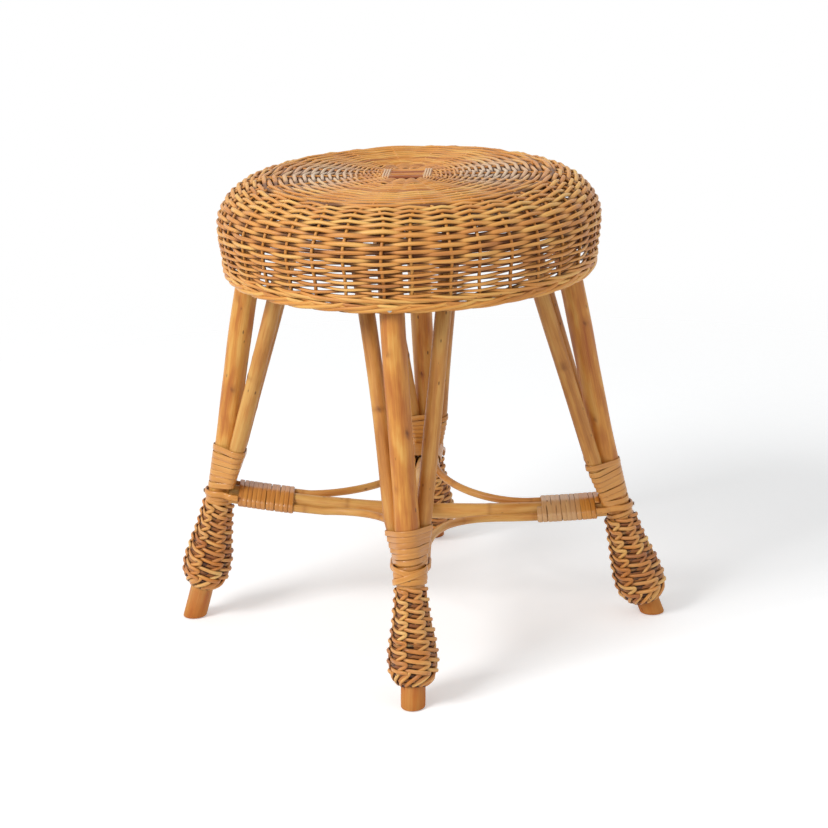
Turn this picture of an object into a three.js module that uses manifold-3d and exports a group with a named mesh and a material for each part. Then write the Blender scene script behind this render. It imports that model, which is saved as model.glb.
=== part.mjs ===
// A mudda stool: a round woven seat on four leaning poles, each with two stays, a woven foot bulb and cane
// bindings, tied to each other by two cross rods and four bent corner canes. Z is up, and the front leg stands
// towards -Y.
import * as THREE from 'three';
import { mergeVertices } from 'three/addons/utils/BufferGeometryUtils.js';
import Module from 'manifold-3d';

const wasm = await Module();
wasm.setup();

// Driving dimensions of the seat, in millimetres.
const seatHeight = 450;
const seatRadius = 184.7;
const seatDepth = 94;
const topThickness = 6;
const wallThickness = 6;
const borderHeight = 10;
const borderThickness = 7.5;
const hoopDiameter = 14;
const hoopInset = 4.6;
const railDiameter = 14;
const railOffset = 45;

// Weave of the seat: how deep its face dips behind a spoke or stake and between coarse rows, the flat middle where
// the first rods cross, and the pitches of the rows round that middle, on the shoulder and at the wall's foot.
const weaveDip = 2.6;
const slathRadius = 21;
const pairingPitch = 7;
const shoulderPitch = 7;
const footRowPitch = 5.6;

// Driving dimensions of the legs. The spread is the angle, in radians, from a pole's inner side to a stay.
const footRadius = 230;
const kneeHeight = 190;
const kneeInset = 4;
const poleDiameter = 22.8;
const stayDiameter = 15.4;
const stayTipDiameter = 7;
const stayTopRadius = 100;
const staySpread = 0.87;
const legBindingHeight = 33.6;
const bulbDrop = 8;
const bulbHeight = 91;
const bulbRadius = 22.8;

// Driving dimensions of the arms. An arm's binding starts a setback inwards of the poles' common line, and the
// corner canes start to bend a setback inwards of the binding.
const armHeight = 118;
const rodDiameter = 15.5;
const rodMiddleHeight = 109.5;
const caneDiameter = 7.5;
const frontCaneLift = -3.5;
const backCaneLift = 4.5;
const armBindingLength = 54;
const armBindingSetback = 32;
const frontBendSetback = 21;
const backBendSetback = 4;
const strapHeight = 6.5;
const strapThickness = 2.4;

// Flat cane of the bindings, and the nails.
const caneThickness = 1.3;
const caneGap = 0.6;
const bindingClearance = 0.45;
const nailDiameter = 1.8;
const nailHeadDiameter = 4.2;
const nailHeadHeight = 0.9;
const nailBite = 11;
const nailPoint = 3;

// Gap between touching pieces, and how far a cutting shape runs past what it cuts.
const fit = 0.3;
const overrun = 5;

// Turns of the bindings, and the sides and steps of the round pieces.
const legLoops = 6;
const armLoops = 12;
const legLoopSteps = 10;
const armLoopSteps = 8;
const poleSides = 14;
const poleSteps = 12;
const staySides = 10;
const staySteps = 8;
const drumSides = 40;
const stakes = 36;
const pairingRows = 3;
const topRows = 22;
const shoulderRows = 5;
const wallRows = 17;
const hoopSteps = 36;
const bulbSides = 16;
const rodSides = 10;
const rodSteps = 12;
const caneSides = 8;
const caneSteps = 20;
const nailSides = 6;
const strapSteps = 8;
const armSearchSteps = 30;
const armSearchShares = [-0.25, 0.5];

// The drum's outline: radius as a share of seatRadius, and drop from the top as a share of seatDepth.
const drumShares = [
  [0.75, 0], [0.825, 0.043], [0.896, 0.106], [0.949, 0.202], [0.984, 0.319],
  [1, 0.447], [0.995, 0.585], [0.984, 0.745], [0.973, 0.89], [0.951, 1],
];
// How the rows of weaving spread: the pitch of the top's first row as a share of their mean, how much more than its
// mean the wall's first pitch is, and where the coarse and the lowest rows lie, as shares of their pitches.
const topRowShare = 0.65;
const wallRowShare = 0.14;
const shoulderStartShare = 0.7;
const footRowShare = 1.3;
// A bulb's outline from its neck down: drop as a share of bulbHeight, and radius as a share of bulbRadius.
const bulbShares = [
  [0, 0.63], [0.1, 0.64], [0.24, 0.7], [0.35, 0.76], [0.46, 0.84], [0.57, 0.92],
  [0.68, 0.98], [0.79, 1], [0.88, 0.94], [0.95, 0.83], [1, 0.66],
];
// How each hand-bent leg strays from the common one. outShares and sideShares are of poleDiameter, at the foot,
// the knee, the rim and the top. armShare is of armHeight, bulbShare of bulbRadius, and bowShares are of
// stayDiameter for the two stays.
const legShares = {
  front: {
    outShares: [0, 0, 0, 0], sideShares: [0.2, 0.03, -0.33, -0.42],
    armShare: 1, bulbShare: 1, bowShares: [0, -0.2],
  },
  right: {
    outShares: [0, -0.26, -0.22, 0], sideShares: [0, 0.02, 0.03, 0],
    armShare: 0.966, bulbShare: 1.07, bowShares: [-0.08, 0.06],
  },
  back: {
    outShares: [0, 0, 0, 0], sideShares: [0, 0.06, 0.15, 0.18],
    armShare: 0.932, bulbShare: 1, bowShares: [-0.05, -0.1],
  },
  left: {
    outShares: [0, 0, 0, 0.13], sideShares: [0, -0.02, 0, 0],
    armShare: 1.125, bulbShare: 1.02, bowShares: [-0.1, 0.04],
  },
};
const legTurns = { front: -Math.PI / 2, right: 0, back: Math.PI / 2, left: Math.PI };

// Sizes that follow from the driving ones.
const rimLevel = seatHeight - seatDepth;
const flatRadius = drumShares[0][0] * seatRadius;
const topUnderside = seatHeight - topThickness;
const hoopRadius = flatRadius - hoopInset;
const hoopLevel = topUnderside - fit - hoopDiameter / 2;
const poleTop = hoopLevel - hoopDiameter / 2 - fit;
const upperRailLevel = topUnderside - fit - railDiameter / 2;
const lowerRailLevel = Math.min(poleTop, upperRailLevel - railDiameter / 2 - fit) - railDiameter / 2;
const rimRadius = drumShares.at(-1)[0] * seatRadius;
const borderInner = rimRadius - borderThickness;
const borderMiddle = rimLevel + borderHeight / 2;
const nailLevel = topUnderside - fit - nailHeadHeight - fit;
const poleRadius = poleDiameter / 2;
const frameStep = poleRadius / 2;
const rodRadius = rodDiameter / 2;
const caneRadius = caneDiameter / 2;
const caneOffset = rodRadius + caneRadius + 2 * fit;
const legSlope = (footRadius - borderInner) / rimLevel;
const poleReach = poleRadius * Math.hypot(1, legSlope);
const rimPoleRadius = borderInner * Math.cos(Math.PI / drumSides) - fit - poleReach;
const kneePoleRadius = footRadius + (rimPoleRadius - footRadius) * (kneeHeight / rimLevel) - kneeInset;
const legLevels = [0, kneeHeight, rimLevel, poleTop];
const legReaches = [footRadius, kneePoleRadius, rimPoleRadius, hoopRadius];
const armReach = through(legLevels, legReaches, armHeight);
const armBindingInner = armReach - armBindingSetback - armBindingLength;
const frontBend = armBindingInner - frontBendSetback;
const backBend = armBindingInner - backBendSetback;

// Materials, with the colour, roughness and metalness that each finish shows.
const finishes = {
  pole: { color: 0xc98a45, roughness: 0.35, metalness: 0 },
  stay: { color: 0xcf9a56, roughness: 0.38, metalness: 0 },
  weave: { color: 0xc9944f, roughness: 0.55, metalness: 0 },
  binding: { color: 0xdba862, roughness: 0.3, metalness: 0 },
  inner: { color: 0xb98d58, roughness: 0.7, metalness: 0 },
  steel: { color: 0xa8a49c, roughness: 0.4, metalness: 1 },
};

const stool = new THREE.Group();

function addPiece(name, geometry, finish) {
  const piece = new THREE.Mesh(geometry, new THREE.MeshStandardMaterial(finishes[finish]));
  piece.name = name;
  stool.add(piece);
}

// Booleans.

function toSolid(geometry) {
  const bare = geometry.clone();
  bare.deleteAttribute('normal');
  bare.deleteAttribute('uv');
  const merged = mergeVertices(bare);
  return new wasm.Manifold(new wasm.Mesh({
    numProp: 3,
    vertProperties: new Float32Array(merged.attributes.position.array),
    triVerts: new Uint32Array(merged.index.array),
  }));
}

function toGeometry(solid) {
  const mesh = solid.getMesh();
  const geometry = new THREE.BufferGeometry();
  geometry.setAttribute('position', new THREE.BufferAttribute(new Float32Array(mesh.vertProperties), 3));
  geometry.setIndex(new THREE.BufferAttribute(new Uint32Array(mesh.triVerts), 1));
  geometry.computeVertexNormals();
  return geometry;
}

function cutAway(geometry, cutters) {
  let solid = toSolid(geometry);
  for (const cutter of cutters) {
    solid = solid.subtract(toSolid(cutter));
  }
  return toGeometry(solid);
}

// Frames: a centre with an out, a side and an up direction, on which straight shapes are set.

function through(levels, values, level) {
  let sum = 0;
  for (let i = 0; i < levels.length; i++) {
    let weight = values[i];
    for (let j = 0; j < levels.length; j++) {
      if (j !== i) weight *= (level - levels[j]) / (levels[i] - levels[j]);
    }
    sum += weight;
  }
  return sum;
}

function frameOn(pointAt, level, outward) {
  const up = pointAt(level + frameStep).sub(pointAt(level - frameStep)).normalize();
  const out = outward.clone().addScaledVector(up, -outward.dot(up)).normalize();
  const side = up.clone().cross(out);
  return { centre: pointAt(level), out, side, up };
}

function setOn(geometry, frameAt) {
  const place = geometry.attributes.position;
  for (let i = 0; i < place.count; i++) {
    const frame = frameAt(place.getZ(i));
    const point = frame.centre.clone()
      .addScaledVector(frame.out, place.getX(i))
      .addScaledVector(frame.side, place.getY(i));
    place.setXYZ(i, point.x, point.y, point.z);
  }
  geometry.computeVertexNormals();
  return geometry;
}

// Slides the vertices of a shape's two end rings along the shape until they lie level.
function setOnWithLevelEnds(geometry, frameAt, low, lowLevel, high, highLevel) {
  const ends = new Map([[Math.fround(low), lowLevel], [Math.fround(high), highLevel]]);
  const place = geometry.attributes.position;
  for (let i = 0; i < place.count; i++) {
    const along = place.getZ(i);
    const frame = frameAt(along);
    const point = frame.centre.clone()
      .addScaledVector(frame.out, place.getX(i))
      .addScaledVector(frame.side, place.getY(i));
    if (ends.has(along) && ends.get(along) !== null) {
      point.addScaledVector(frame.up, (ends.get(along) - point.z) / frame.up.z);
    }
    place.setXYZ(i, point.x, point.y, point.z);
  }
  geometry.computeVertexNormals();
  return geometry;
}

// A round bar along Z whose radius follows the height.
function roundBar(low, high, sides, steps, radiusAt) {
  const bar = new THREE.CylinderGeometry(1, 1, high - low, sides, steps);
  bar.rotateX(Math.PI / 2);
  bar.translate(0, 0, (low + high) / 2);
  const place = bar.attributes.position;
  for (let i = 0; i < place.count; i++) {
    const radius = radiusAt(place.getZ(i));
    const last = Math.abs(place.getZ(i) - high) < Math.abs(place.getZ(i) - low);
    const along = endOf(place.getZ(i), low, high, steps, last);
    place.setXYZ(i, place.getX(i) * radius, place.getY(i) * radius, along);
  }
  return bar;
}

// Puts the rings nearest to an end exactly on it, so that they can be told from the others.
function endOf(along, low, high, steps, last) {
  const end = last ? high : low;
  return Math.abs(along - end) < (high - low) / steps / 2 ? end : along;
}

// The four legs: each has its directions, its line and the height of its arm.

function makeLeg(name) {
  const turn = legTurns[name];
  const shares = legShares[name];
  const out = new THREE.Vector3(Math.cos(turn), Math.sin(turn), 0);
  const side = new THREE.Vector3(-Math.sin(turn), Math.cos(turn), 0);
  const sides = shares.sideShares.map((share) => share * poleDiameter);
  const strays = shares.outShares.map((share) => share * poleDiameter);
  const outs = legReaches.map((reach, i) => Math.sqrt(reach ** 2 - sides[i] ** 2) + strays[i]);
  const place = (outward, sideways, level) => out.clone().multiplyScalar(outward)
    .addScaledVector(side, sideways)
    .setZ(level);
  const outAt = (level) => through(legLevels, outs, level);
  const sideAt = (level) => through(legLevels, sides, level);
  const pointAt = (level) => place(outAt(level), sideAt(level), level);
  const frameAt = (level) => frameOn(pointAt, level, out);
  const arm = armHeight * shares.armShare;
  const slope = (outAt(arm - poleRadius) - outAt(arm + poleRadius)) / poleDiameter;
  return { name, out, side, place, outAt, sideAt, pointAt, frameAt, shares, arm, slope };
}

const legs = Object.fromEntries(Object.keys(legTurns).map((name) => [name, makeLeg(name)]));
const legList = Object.values(legs);

// Nails: a point, a round shank and a flat head, driven along a direction.

function nailGeometry(length, slack) {
  const shank = nailDiameter / 2 + slack;
  const head = nailHeadDiameter / 2 + slack;
  const rise = nailHeadHeight + (slack ? overrun : 0);
  const outline = [
    new THREE.Vector2(0, -length - slack),
    new THREE.Vector2(shank, nailPoint - length - slack),
    new THREE.Vector2(shank, -slack),
    new THREE.Vector2(head, -slack),
    new THREE.Vector2(head, rise),
    new THREE.Vector2(0, rise),
  ];
  return new THREE.LatheGeometry(outline, nailSides);
}

function driveNail(geometry, headSeat, direction) {
  const turn = new THREE.Quaternion().setFromUnitVectors(new THREE.Vector3(0, -1, 0), direction);
  geometry.applyQuaternion(turn);
  geometry.translate(headSeat.x, headSeat.y, headSeat.z);
  return geometry;
}

const inwards = (leg) => leg.out.clone().negate();
const downwards = new THREE.Vector3(0, 0, -1);

function drumRadiusAt(level) {
  const drop = (seatHeight - level) / seatDepth;
  const i = Math.max(1, drumShares.findIndex((share) => share[1] >= drop));
  const [before, after] = [drumShares[i - 1], drumShares[i]];
  const mix = (drop - before[1]) / (after[1] - before[1]);
  return seatRadius * (before[0] + (after[0] - before[0]) * mix);
}

function borderNail(leg, slack) {
  const seat = leg.place(drumRadiusAt(borderMiddle) + fit, leg.sideAt(borderMiddle), borderMiddle);
  const length = drumRadiusAt(borderMiddle) - leg.outAt(borderMiddle) - poleRadius + nailBite;
  return driveNail(nailGeometry(length, slack), seat, inwards(leg));
}

function hoopNail(leg, slack) {
  const sideways = leg.sideAt(poleTop);
  const seat = leg.place(Math.sqrt(hoopRadius ** 2 - sideways ** 2), sideways, nailLevel);
  return driveNail(nailGeometry(hoopDiameter + nailBite, slack), seat, downwards);
}

function railNail(xSign, ySign, slack) {
  const seat = new THREE.Vector3(xSign * railOffset, ySign * railOffset, nailLevel);
  return driveNail(nailGeometry(nailLevel - lowerRailLevel, slack), seat, downwards);
}

// The strap clears the leaning pole over its whole height.
function strapInner(leg) {
  return poleRadius * Math.hypot(1, leg.slope) + leg.slope * strapHeight / 2 + fit;
}

function strapNail(leg, slack) {
  const reach = strapInner(leg) + strapThickness + 2 * fit;
  const seat = leg.place(leg.outAt(leg.arm) + reach, leg.sideAt(leg.arm), leg.arm);
  return driveNail(nailGeometry(strapThickness + nailBite, slack), seat, inwards(leg));
}

// Poles and stays.

function poleGeometry(leg, slack) {
  const bar = roundBar(0, poleTop, poleSides, poleSteps, () => poleRadius + slack);
  return setOnWithLevelEnds(bar, leg.frameAt, 0, 0, poleTop, poleTop);
}

function addPole(leg) {
  const holes = [borderNail(leg, fit), hoopNail(leg, fit), strapNail(leg, fit)];
  addPiece(`pole_${leg.name}`, cutAway(poleGeometry(leg, 0), holes), 'pole');
}

const stayRadius = stayDiameter / 2;
const stayTipRadius = stayTipDiameter / 2;
const bundleDepth = poleRadius + stayDiameter;
const legBindingLift = rodRadius + bundleDepth * legSlope + 2 * fit;
const bindingBottom = (leg) => leg.arm + legBindingLift;
const tieLevel = (leg) => bindingBottom(leg) + legBindingHeight;

function stayRadiusAt(leg, level) {
  const mix = (level - bindingBottom(leg)) / (tieLevel(leg) - bindingBottom(leg));
  return stayTipRadius + (stayRadius - stayTipRadius) * Math.min(1, Math.max(0, mix));
}

function stayBeside(leg, hand, level) {
  const apart = poleRadius + stayRadiusAt(leg, level) + fit;
  return leg.place(
    leg.outAt(level) - apart * Math.cos(staySpread),
    leg.sideAt(level) + hand * apart * Math.sin(staySpread),
    level,
  );
}

function stayPoint(leg, hand, topLevel, level) {
  const tie = tieLevel(leg);
  if (level <= tie) return stayBeside(leg, hand, level);
  const mix = (level - tie) / (topLevel - tie);
  const top = leg.place(stayTopRadius, hand * railOffset, topLevel);
  const bow = leg.shares.bowShares[hand < 0 ? 1 : 0] * stayDiameter * 4 * mix * (1 - mix);
  return stayBeside(leg, hand, tie).lerp(top, mix).addScaledVector(leg.side, hand * bow).setZ(level);
}

// The stays of the left and right legs end under the upper rails, the others under the lower ones.
function stayTopLevel(leg) {
  const rail = Math.abs(leg.out.x) > Math.abs(leg.out.y) ? upperRailLevel : lowerRailLevel;
  return rail - railDiameter / 2 - fit;
}

function addStay(leg, hand, label) {
  const low = bindingBottom(leg);
  const high = stayTopLevel(leg);
  const pointAt = (level) => stayPoint(leg, hand, high, level);
  const frameAt = (level) => frameOn(pointAt, level, leg.out);
  const bar = roundBar(low, high, staySides, staySteps, (level) => stayRadiusAt(leg, level));
  const stay = setOnWithLevelEnds(bar, frameAt, low, null, high, high);
  addPiece(`stay_${leg.name}_${label}`, stay, 'stay');
}

// The hoop and the rails that carry the seat's top.

const tubeSwell = 1 / Math.cos(Math.PI / rodSides);

function hoopGeometry(slack) {
  const tube = slack ? (hoopDiameter / 2 + slack) * tubeSwell : hoopDiameter / 2;
  return new THREE.TorusGeometry(hoopRadius, tube, rodSides, hoopSteps).translate(0, 0, hoopLevel);
}

function addHoop() {
  addPiece('seat_hoop', cutAway(hoopGeometry(0), legList.map((leg) => hoopNail(leg, fit))), 'inner');
}

function addUpperRail(sign, label) {
  const half = Math.sqrt(hoopRadius ** 2 - railOffset ** 2) - hoopInset / 2;
  const rail = new THREE.CylinderGeometry(railDiameter / 2, railDiameter / 2, 2 * half, rodSides);
  rail.rotateZ(Math.PI / 2);
  rail.translate(0, sign * railOffset, upperRailLevel);
  const cutters = [hoopGeometry(fit), railNail(-1, sign, fit), railNail(1, sign, fit)];
  addPiece(`rail_upper_${label}`, cutAway(rail, cutters), 'inner');
}

function addLowerRail(sign, label) {
  const half = Math.sqrt(hoopRadius ** 2 - railOffset ** 2) + hoopDiameter / 2;
  const rail = new THREE.CylinderGeometry(railDiameter / 2, railDiameter / 2, 2 * half, rodSides);
  rail.translate(sign * railOffset, 0, lowerRailLevel);
  const cutters = [railNail(sign, -1, fit), railNail(sign, 1, fit)];
  addPiece(`rail_lower_${label}`, cutAway(rail, cutters), 'inner');
}

// The woven seat: flat top, shoulder with side wall, and border.

function lathe(outline, sides) {
  const ring = new THREE.LatheGeometry(outline, sides);
  ring.rotateX(Math.PI / 2);
  return ring;
}

const seatMiddle = new THREE.Vector3(0, 0, rimLevel);
const spokes = stakes / 2;
const spokeTurn = (spoke) => (spoke / spokes - 0.5) * 2 * Math.PI;
const stakeTurn = (stake) => ((stake - 0.5) / stakes - 0.5) * 2 * Math.PI;

function ringPoints(count, turnAt, pointAt) {
  return Array.from({ length: count }, (_, i) => {
    const point = pointAt(i);
    return new THREE.Vector3(point.x * Math.cos(turnAt(i)), point.x * Math.sin(turnAt(i)), point.y);
  });
}

function edgePrism(radius) {
  const prism = new THREE.CylinderGeometry(radius, radius, 2 * seatDepth, drumSides);
  return prism.rotateX(Math.PI / 2).translate(0, 0, seatHeight);
}

// The top: a ring of points for each row, a point at each spoke, and a flat middle.
function addSeatTop() {
  const ring = (radius, levelAt) => ringPoints(spokes, spokeTurn, (i) => new THREE.Vector2(radius, levelAt(i)));
  const rowLevel = (row) => (spoke) => seatHeight - ((spoke + row) % 2) * weaveDip;
  const rowStart = slathRadius + (pairingRows + 1) * pairingPitch;
  const rings = [ring(slathRadius, () => seatHeight)];
  for (let row = 0; row < pairingRows; row++) {
    rings.push(ring(slathRadius + (row + 1) * pairingPitch, rowLevel(row)));
  }
  for (let row = 0; row < topRows; row++) {
    const way = row / topRows;
    const spread = topRowShare * way + (1 - topRowShare) * way ** 2;
    rings.push(ring(rowStart + (flatRadius - rowStart) * spread, rowLevel(row)));
  }
  rings.push(ring(flatRadius + overrun, () => seatHeight - weaveDip / 2));
  rings.push(ring(flatRadius + overrun, () => topUnderside));
  const edge = toSolid(edgePrism(flatRadius));
  addPiece('seat_top_weave', toGeometry(toSolid(loft(rings, false, seatMiddle)).intersect(edge)), 'weave');
}

function insetOutline(points, distance) {
  return points.map((point, i) => {
    const before = points[Math.max(0, i - 1)];
    const after = points[Math.min(points.length - 1, i + 1)];
    const along = after.clone().sub(before).normalize();
    return new THREE.Vector2(point.x + along.y * distance, point.y - along.x * distance);
  });
}

// A point of an outline and the direction away from it, by the distance from the outline's start.
function onOutline(outline, distance) {
  let left = distance;
  let i = 1;
  while (i + 1 < outline.length && left > outline[i].distanceTo(outline[i - 1])) {
    left -= outline[i].distanceTo(outline[i - 1]);
    i++;
  }
  const along = outline[i].clone().sub(outline[i - 1]).normalize();
  const point = outline[i - 1].clone().addScaledVector(along, left);
  return { point, away: new THREE.Vector2(-along.y, along.x) };
}

// The rows of the side: for each one its distance along the outline, and how far its face dips at a stake.
function sideRows(length) {
  const rows = [];
  for (let row = 0; row < shoulderRows; row++) {
    rows.push([(row + shoulderStartShare) * shoulderPitch, () => 0]);
    rows.push([(row + shoulderStartShare + 0.5) * shoulderPitch, () => weaveDip]);
  }
  const first = (shoulderRows + shoulderStartShare) * shoulderPitch;
  const last = length - footRowShare * footRowPitch;
  for (let row = 0; row < wallRows; row++) {
    const way = row / (wallRows - 1);
    const spread = way * (1 + wallRowShare * (1 - way));
    rows.push([first + (last - first) * spread, (stake) => ((stake + row) % 2) * weaveDip]);
  }
  return rows;
}

// The shoulder and the wall: rings of points, one at each stake, round the inner face and back up the woven one.
function addSeatSide() {
  const wallBottom = rimLevel + borderHeight + fit;
  const shoulder = drumShares
    .map(([reach, drop]) => new THREE.Vector2(reach * seatRadius, seatHeight - drop * seatDepth))
    .filter((point) => point.y > wallBottom);
  const outer = [...shoulder, new THREE.Vector2(drumRadiusAt(wallBottom), wallBottom)];
  const inset = insetOutline(outer, wallThickness);
  const inner = [
    new THREE.Vector2(flatRadius - overrun, topUnderside), ...inset.slice(1, 4), inset[5],
    new THREE.Vector2(drumRadiusAt(wallBottom) - wallThickness, wallBottom),
  ];
  const length = outer.slice(1).reduce((sum, point, i) => sum + point.distanceTo(outer[i]), 0);
  const ring = (pointAt) => ringPoints(stakes, stakeTurn, pointAt);
  const face = sideRows(length).map(([distance, dipAt]) => {
    const { point, away } = onOutline(outer, distance);
    return ring((stake) => point.clone().addScaledVector(away, -dipAt(stake)));
  });
  const start = new THREE.Vector2(flatRadius - overrun, seatHeight - weaveDip / 2);
  const rings = [
    ...inner.map((point) => ring(() => point)), ring(() => outer.at(-1)), ...face.reverse(), ring(() => start),
  ];
  addPiece('seat_side_weave', cutAway(loft(rings, true, seatMiddle), [edgePrism(flatRadius + fit)]), 'weave');
}

function addBorder() {
  const top = rimLevel + borderHeight;
  const outline = [
    new THREE.Vector2(borderInner, rimLevel),
    new THREE.Vector2(rimRadius, rimLevel),
    new THREE.Vector2(drumRadiusAt(borderMiddle), borderMiddle),
    new THREE.Vector2(drumRadiusAt(top), top),
    new THREE.Vector2(borderInner, top),
    new THREE.Vector2(borderInner, rimLevel),
  ];
  const nails = legList.map((leg) => borderNail(leg, fit));
  addPiece('seat_border', cutAway(lathe(outline, drumSides), nails), 'weave');
}

// Woven foot bulbs, each a shell round its pole.

function addBulb(leg) {
  const neck = leg.arm - bulbDrop;
  const outer = bulbShares.map(([drop, share]) => new THREE.Vector2(
    share * bulbRadius * leg.shares.bulbShare,
    neck - drop * bulbHeight,
  ));
  const outline = [new THREE.Vector2(0, neck - bulbHeight), ...outer.reverse(), new THREE.Vector2(0, neck)];
  const bulb = setOn(lathe(outline, bulbSides), leg.frameAt);
  addPiece(`foot_bulb_${leg.name}`, cutAway(bulb, [poleGeometry(leg, fit)]), 'weave');
}

// Cross rods: each runs from one pole to the opposite one, with its ends coped to the poles.

function rodCurve(from, to, middleLevel) {
  const middle = new THREE.Vector3(0, 0, middleLevel);
  const start = from.pointAt(from.arm);
  const end = to.pointAt(to.arm);
  const chord = start.clone().add(end).divideScalar(2);
  const control = middle.clone().sub(chord).add(middle);
  return new THREE.QuadraticBezierCurve3(start, control, end);
}

const leftRight = rodCurve(legs.left, legs.right, rodMiddleHeight);
const frontBack = rodCurve(legs.front, legs.back, rodMiddleHeight + rodDiameter + 2 * fit);
const rodOf = {
  left: (share) => leftRight.getPoint(share),
  right: (share) => leftRight.getPoint(1 - share),
  front: (share) => frontBack.getPoint(share),
  back: (share) => frontBack.getPoint(1 - share),
};

// The rod's middle line, carried on past its end, at a distance from the stool's axis.
function armPoint(leg, radius) {
  let [low, high] = armSearchShares;
  for (let i = 0; i < armSearchSteps; i++) {
    const share = (low + high) / 2;
    if (rodOf[leg.name](share).dot(leg.out) > radius) low = share;
    else high = share;
  }
  return rodOf[leg.name]((low + high) / 2);
}

function roundSection(radius, sides) {
  const points = [];
  for (let i = 0; i < sides; i++) {
    const angle = 2 * Math.PI * i / sides;
    points.push(new THREE.Vector2(radius * Math.cos(angle), radius * Math.sin(angle)));
  }
  return new THREE.Shape(points);
}

function sweep(curve, radius, sides, steps) {
  const options = { steps, bevelEnabled: false, extrudePath: curve };
  return new THREE.ExtrudeGeometry(roundSection(radius, sides), options);
}

function addRod(name, curve, from, to) {
  const poles = [poleGeometry(from, fit), poleGeometry(to, fit)];
  addPiece(name, cutAway(sweep(curve, rodRadius, rodSides, rodSteps), poles), 'stay');
}

// Corner canes: along one arm, round a quarter bend, and out along the next arm.

class CornerRun extends THREE.Curve {
  constructor(from, to) {
    super();
    this.from = from;
    this.to = to;
    const front = from.name === 'front' || to.name === 'front';
    this.lift = front ? frontCaneLift : backCaneLift;
    this.bend = front ? frontBend : backBend;
    this.bendRadius = this.bend - caneOffset;
    this.starts = caneEnd(from) - this.bend;
    this.finishes = caneEnd(to) - this.bend;
    this.arc = this.bendRadius * Math.PI / 2;
  }

  onArm(leg, other, radius) {
    const lifted = new THREE.Vector3(0, 0, this.lift);
    return armPoint(leg, radius).addScaledVector(other.out, caneOffset).add(lifted);
  }

  getPoint(share) {
    const along = share * (this.starts + this.arc + this.finishes);
    if (along < this.starts) return this.onArm(this.from, this.to, this.bend + this.starts - along);
    const past = along - this.starts - this.arc;
    if (past > 0) return this.onArm(this.to, this.from, this.bend + past);
    return this.inBend((along - this.starts) / this.arc);
  }

  inBend(share) {
    const first = this.onArm(this.from, this.to, this.bend);
    const last = this.onArm(this.to, this.from, this.bend);
    const angle = share * Math.PI / 2;
    const centre = this.from.out.clone().multiplyScalar(first.dot(this.from.out))
      .addScaledVector(this.to.out, last.dot(this.to.out));
    const toFrom = centre.dot(this.to.out) - first.dot(this.to.out);
    const toTo = centre.dot(this.from.out) - last.dot(this.from.out);
    const ease = share * share * (3 - 2 * share);
    return centre.addScaledVector(this.to.out, -toFrom * Math.cos(angle))
      .addScaledVector(this.from.out, -toTo * Math.sin(angle))
      .setZ(first.z + (last.z - first.z) * ease);
  }
}

function caneEnd(leg) {
  const beside = Math.max(0, poleRadius ** 2 - (caneOffset - caneRadius) ** 2);
  const highest = Math.max(frontCaneLift, backCaneLift) + caneRadius;
  return leg.outAt(leg.arm) - Math.sqrt(beside) - highest * leg.slope - 2 * fit;
}

function addCornerCane(from, to) {
  const cane = sweep(new CornerRun(from, to), caneRadius, caneSides, caneSteps);
  addPiece(`corner_cane_${from.name}_${to.name}`, cane, 'stay');
}

// Flat cane wound tight round a bundle of round bars: the strip keeps to the tangents of the bundle's hull.

function hullDistance(circles, angle) {
  const cos = Math.cos(angle);
  const sin = Math.sin(angle);
  return Math.max(...circles.map(({ x, y, r }) => x * cos + y * sin + r));
}

function hullCorner(circles, before, after, offset) {
  const first = hullDistance(circles, before) + offset;
  const second = hullDistance(circles, after) + offset;
  const turn = Math.sin(after - before);
  return new THREE.Vector2(
    (first * Math.sin(after) - second * Math.sin(before)) / turn,
    (second * Math.cos(before) - first * Math.cos(after)) / turn,
  );
}

function windingSections({ loops, loopSteps, start, length, circlesAt, frameAt }) {
  const pitch = length / (loops + 1);
  const width = pitch - caneGap;
  const sections = [];
  for (let i = 0; i <= loops * loopSteps; i++) {
    const before = 2 * Math.PI * i / loopSteps;
    const after = 2 * Math.PI * (i + 1) / loopSteps;
    const middle = start + pitch * (0.5 + i / loopSteps);
    const corners = [[-1, 0], [-1, 1], [1, 1], [1, 0]].map(([edge, face]) => {
      const along = middle + edge * width / 2;
      const offset = bindingClearance + face * caneThickness;
      const flat = hullCorner(circlesAt(along), before, after, offset);
      const frame = frameAt(along);
      return frame.centre.clone().addScaledVector(frame.out, flat.x).addScaledVector(frame.side, flat.y);
    });
    sections.push(corners);
  }
  return sections;
}

function straightEnds(sections, length) {
  const lead = (near, next) => near.map((point, i) => {
    const away = point.clone().sub(next[i]).normalize();
    return point.clone().addScaledVector(away, length);
  });
  return [lead(sections[0], sections[1]), ...sections, lead(sections.at(-1), sections.at(-2))];
}

// Joins sections in their order. A chain of them gets flat ends, and a loop closes on its first section. With a
// middle given, each face is split along the diagonal that runs nearer to it, so that valleys join and crests don't.
function loft(sections, looped = false, middle = null) {
  const points = sections.flat();
  const count = sections[0].length;
  const faces = [];
  const last = points.length - count;
  const height = (a, b) => points[a].clone().lerp(points[b], 0.5).distanceTo(middle);
  for (let i = 0; i < (looped ? points.length : last); i += count) {
    const next = (i + count) % points.length;
    for (let k = 0; k < count; k++) {
      const side = (k + 1) % count;
      const [a, b, c, d] = [i + k, i + side, next + side, next + k];
      const turned = middle && height(b, d) < height(a, c);
      faces.push(...(turned ? [a, b, d, b, c, d] : [a, b, c, a, c, d]));
    }
  }
  for (let k = 1; !looped && k + 1 < count; k++) {
    faces.push(0, k + 1, k, last, last + k, last + k + 1);
  }
  const geometry = new THREE.BufferGeometry().setFromPoints(points);
  geometry.setIndex(faces);
  return outwards(geometry);
}

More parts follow.
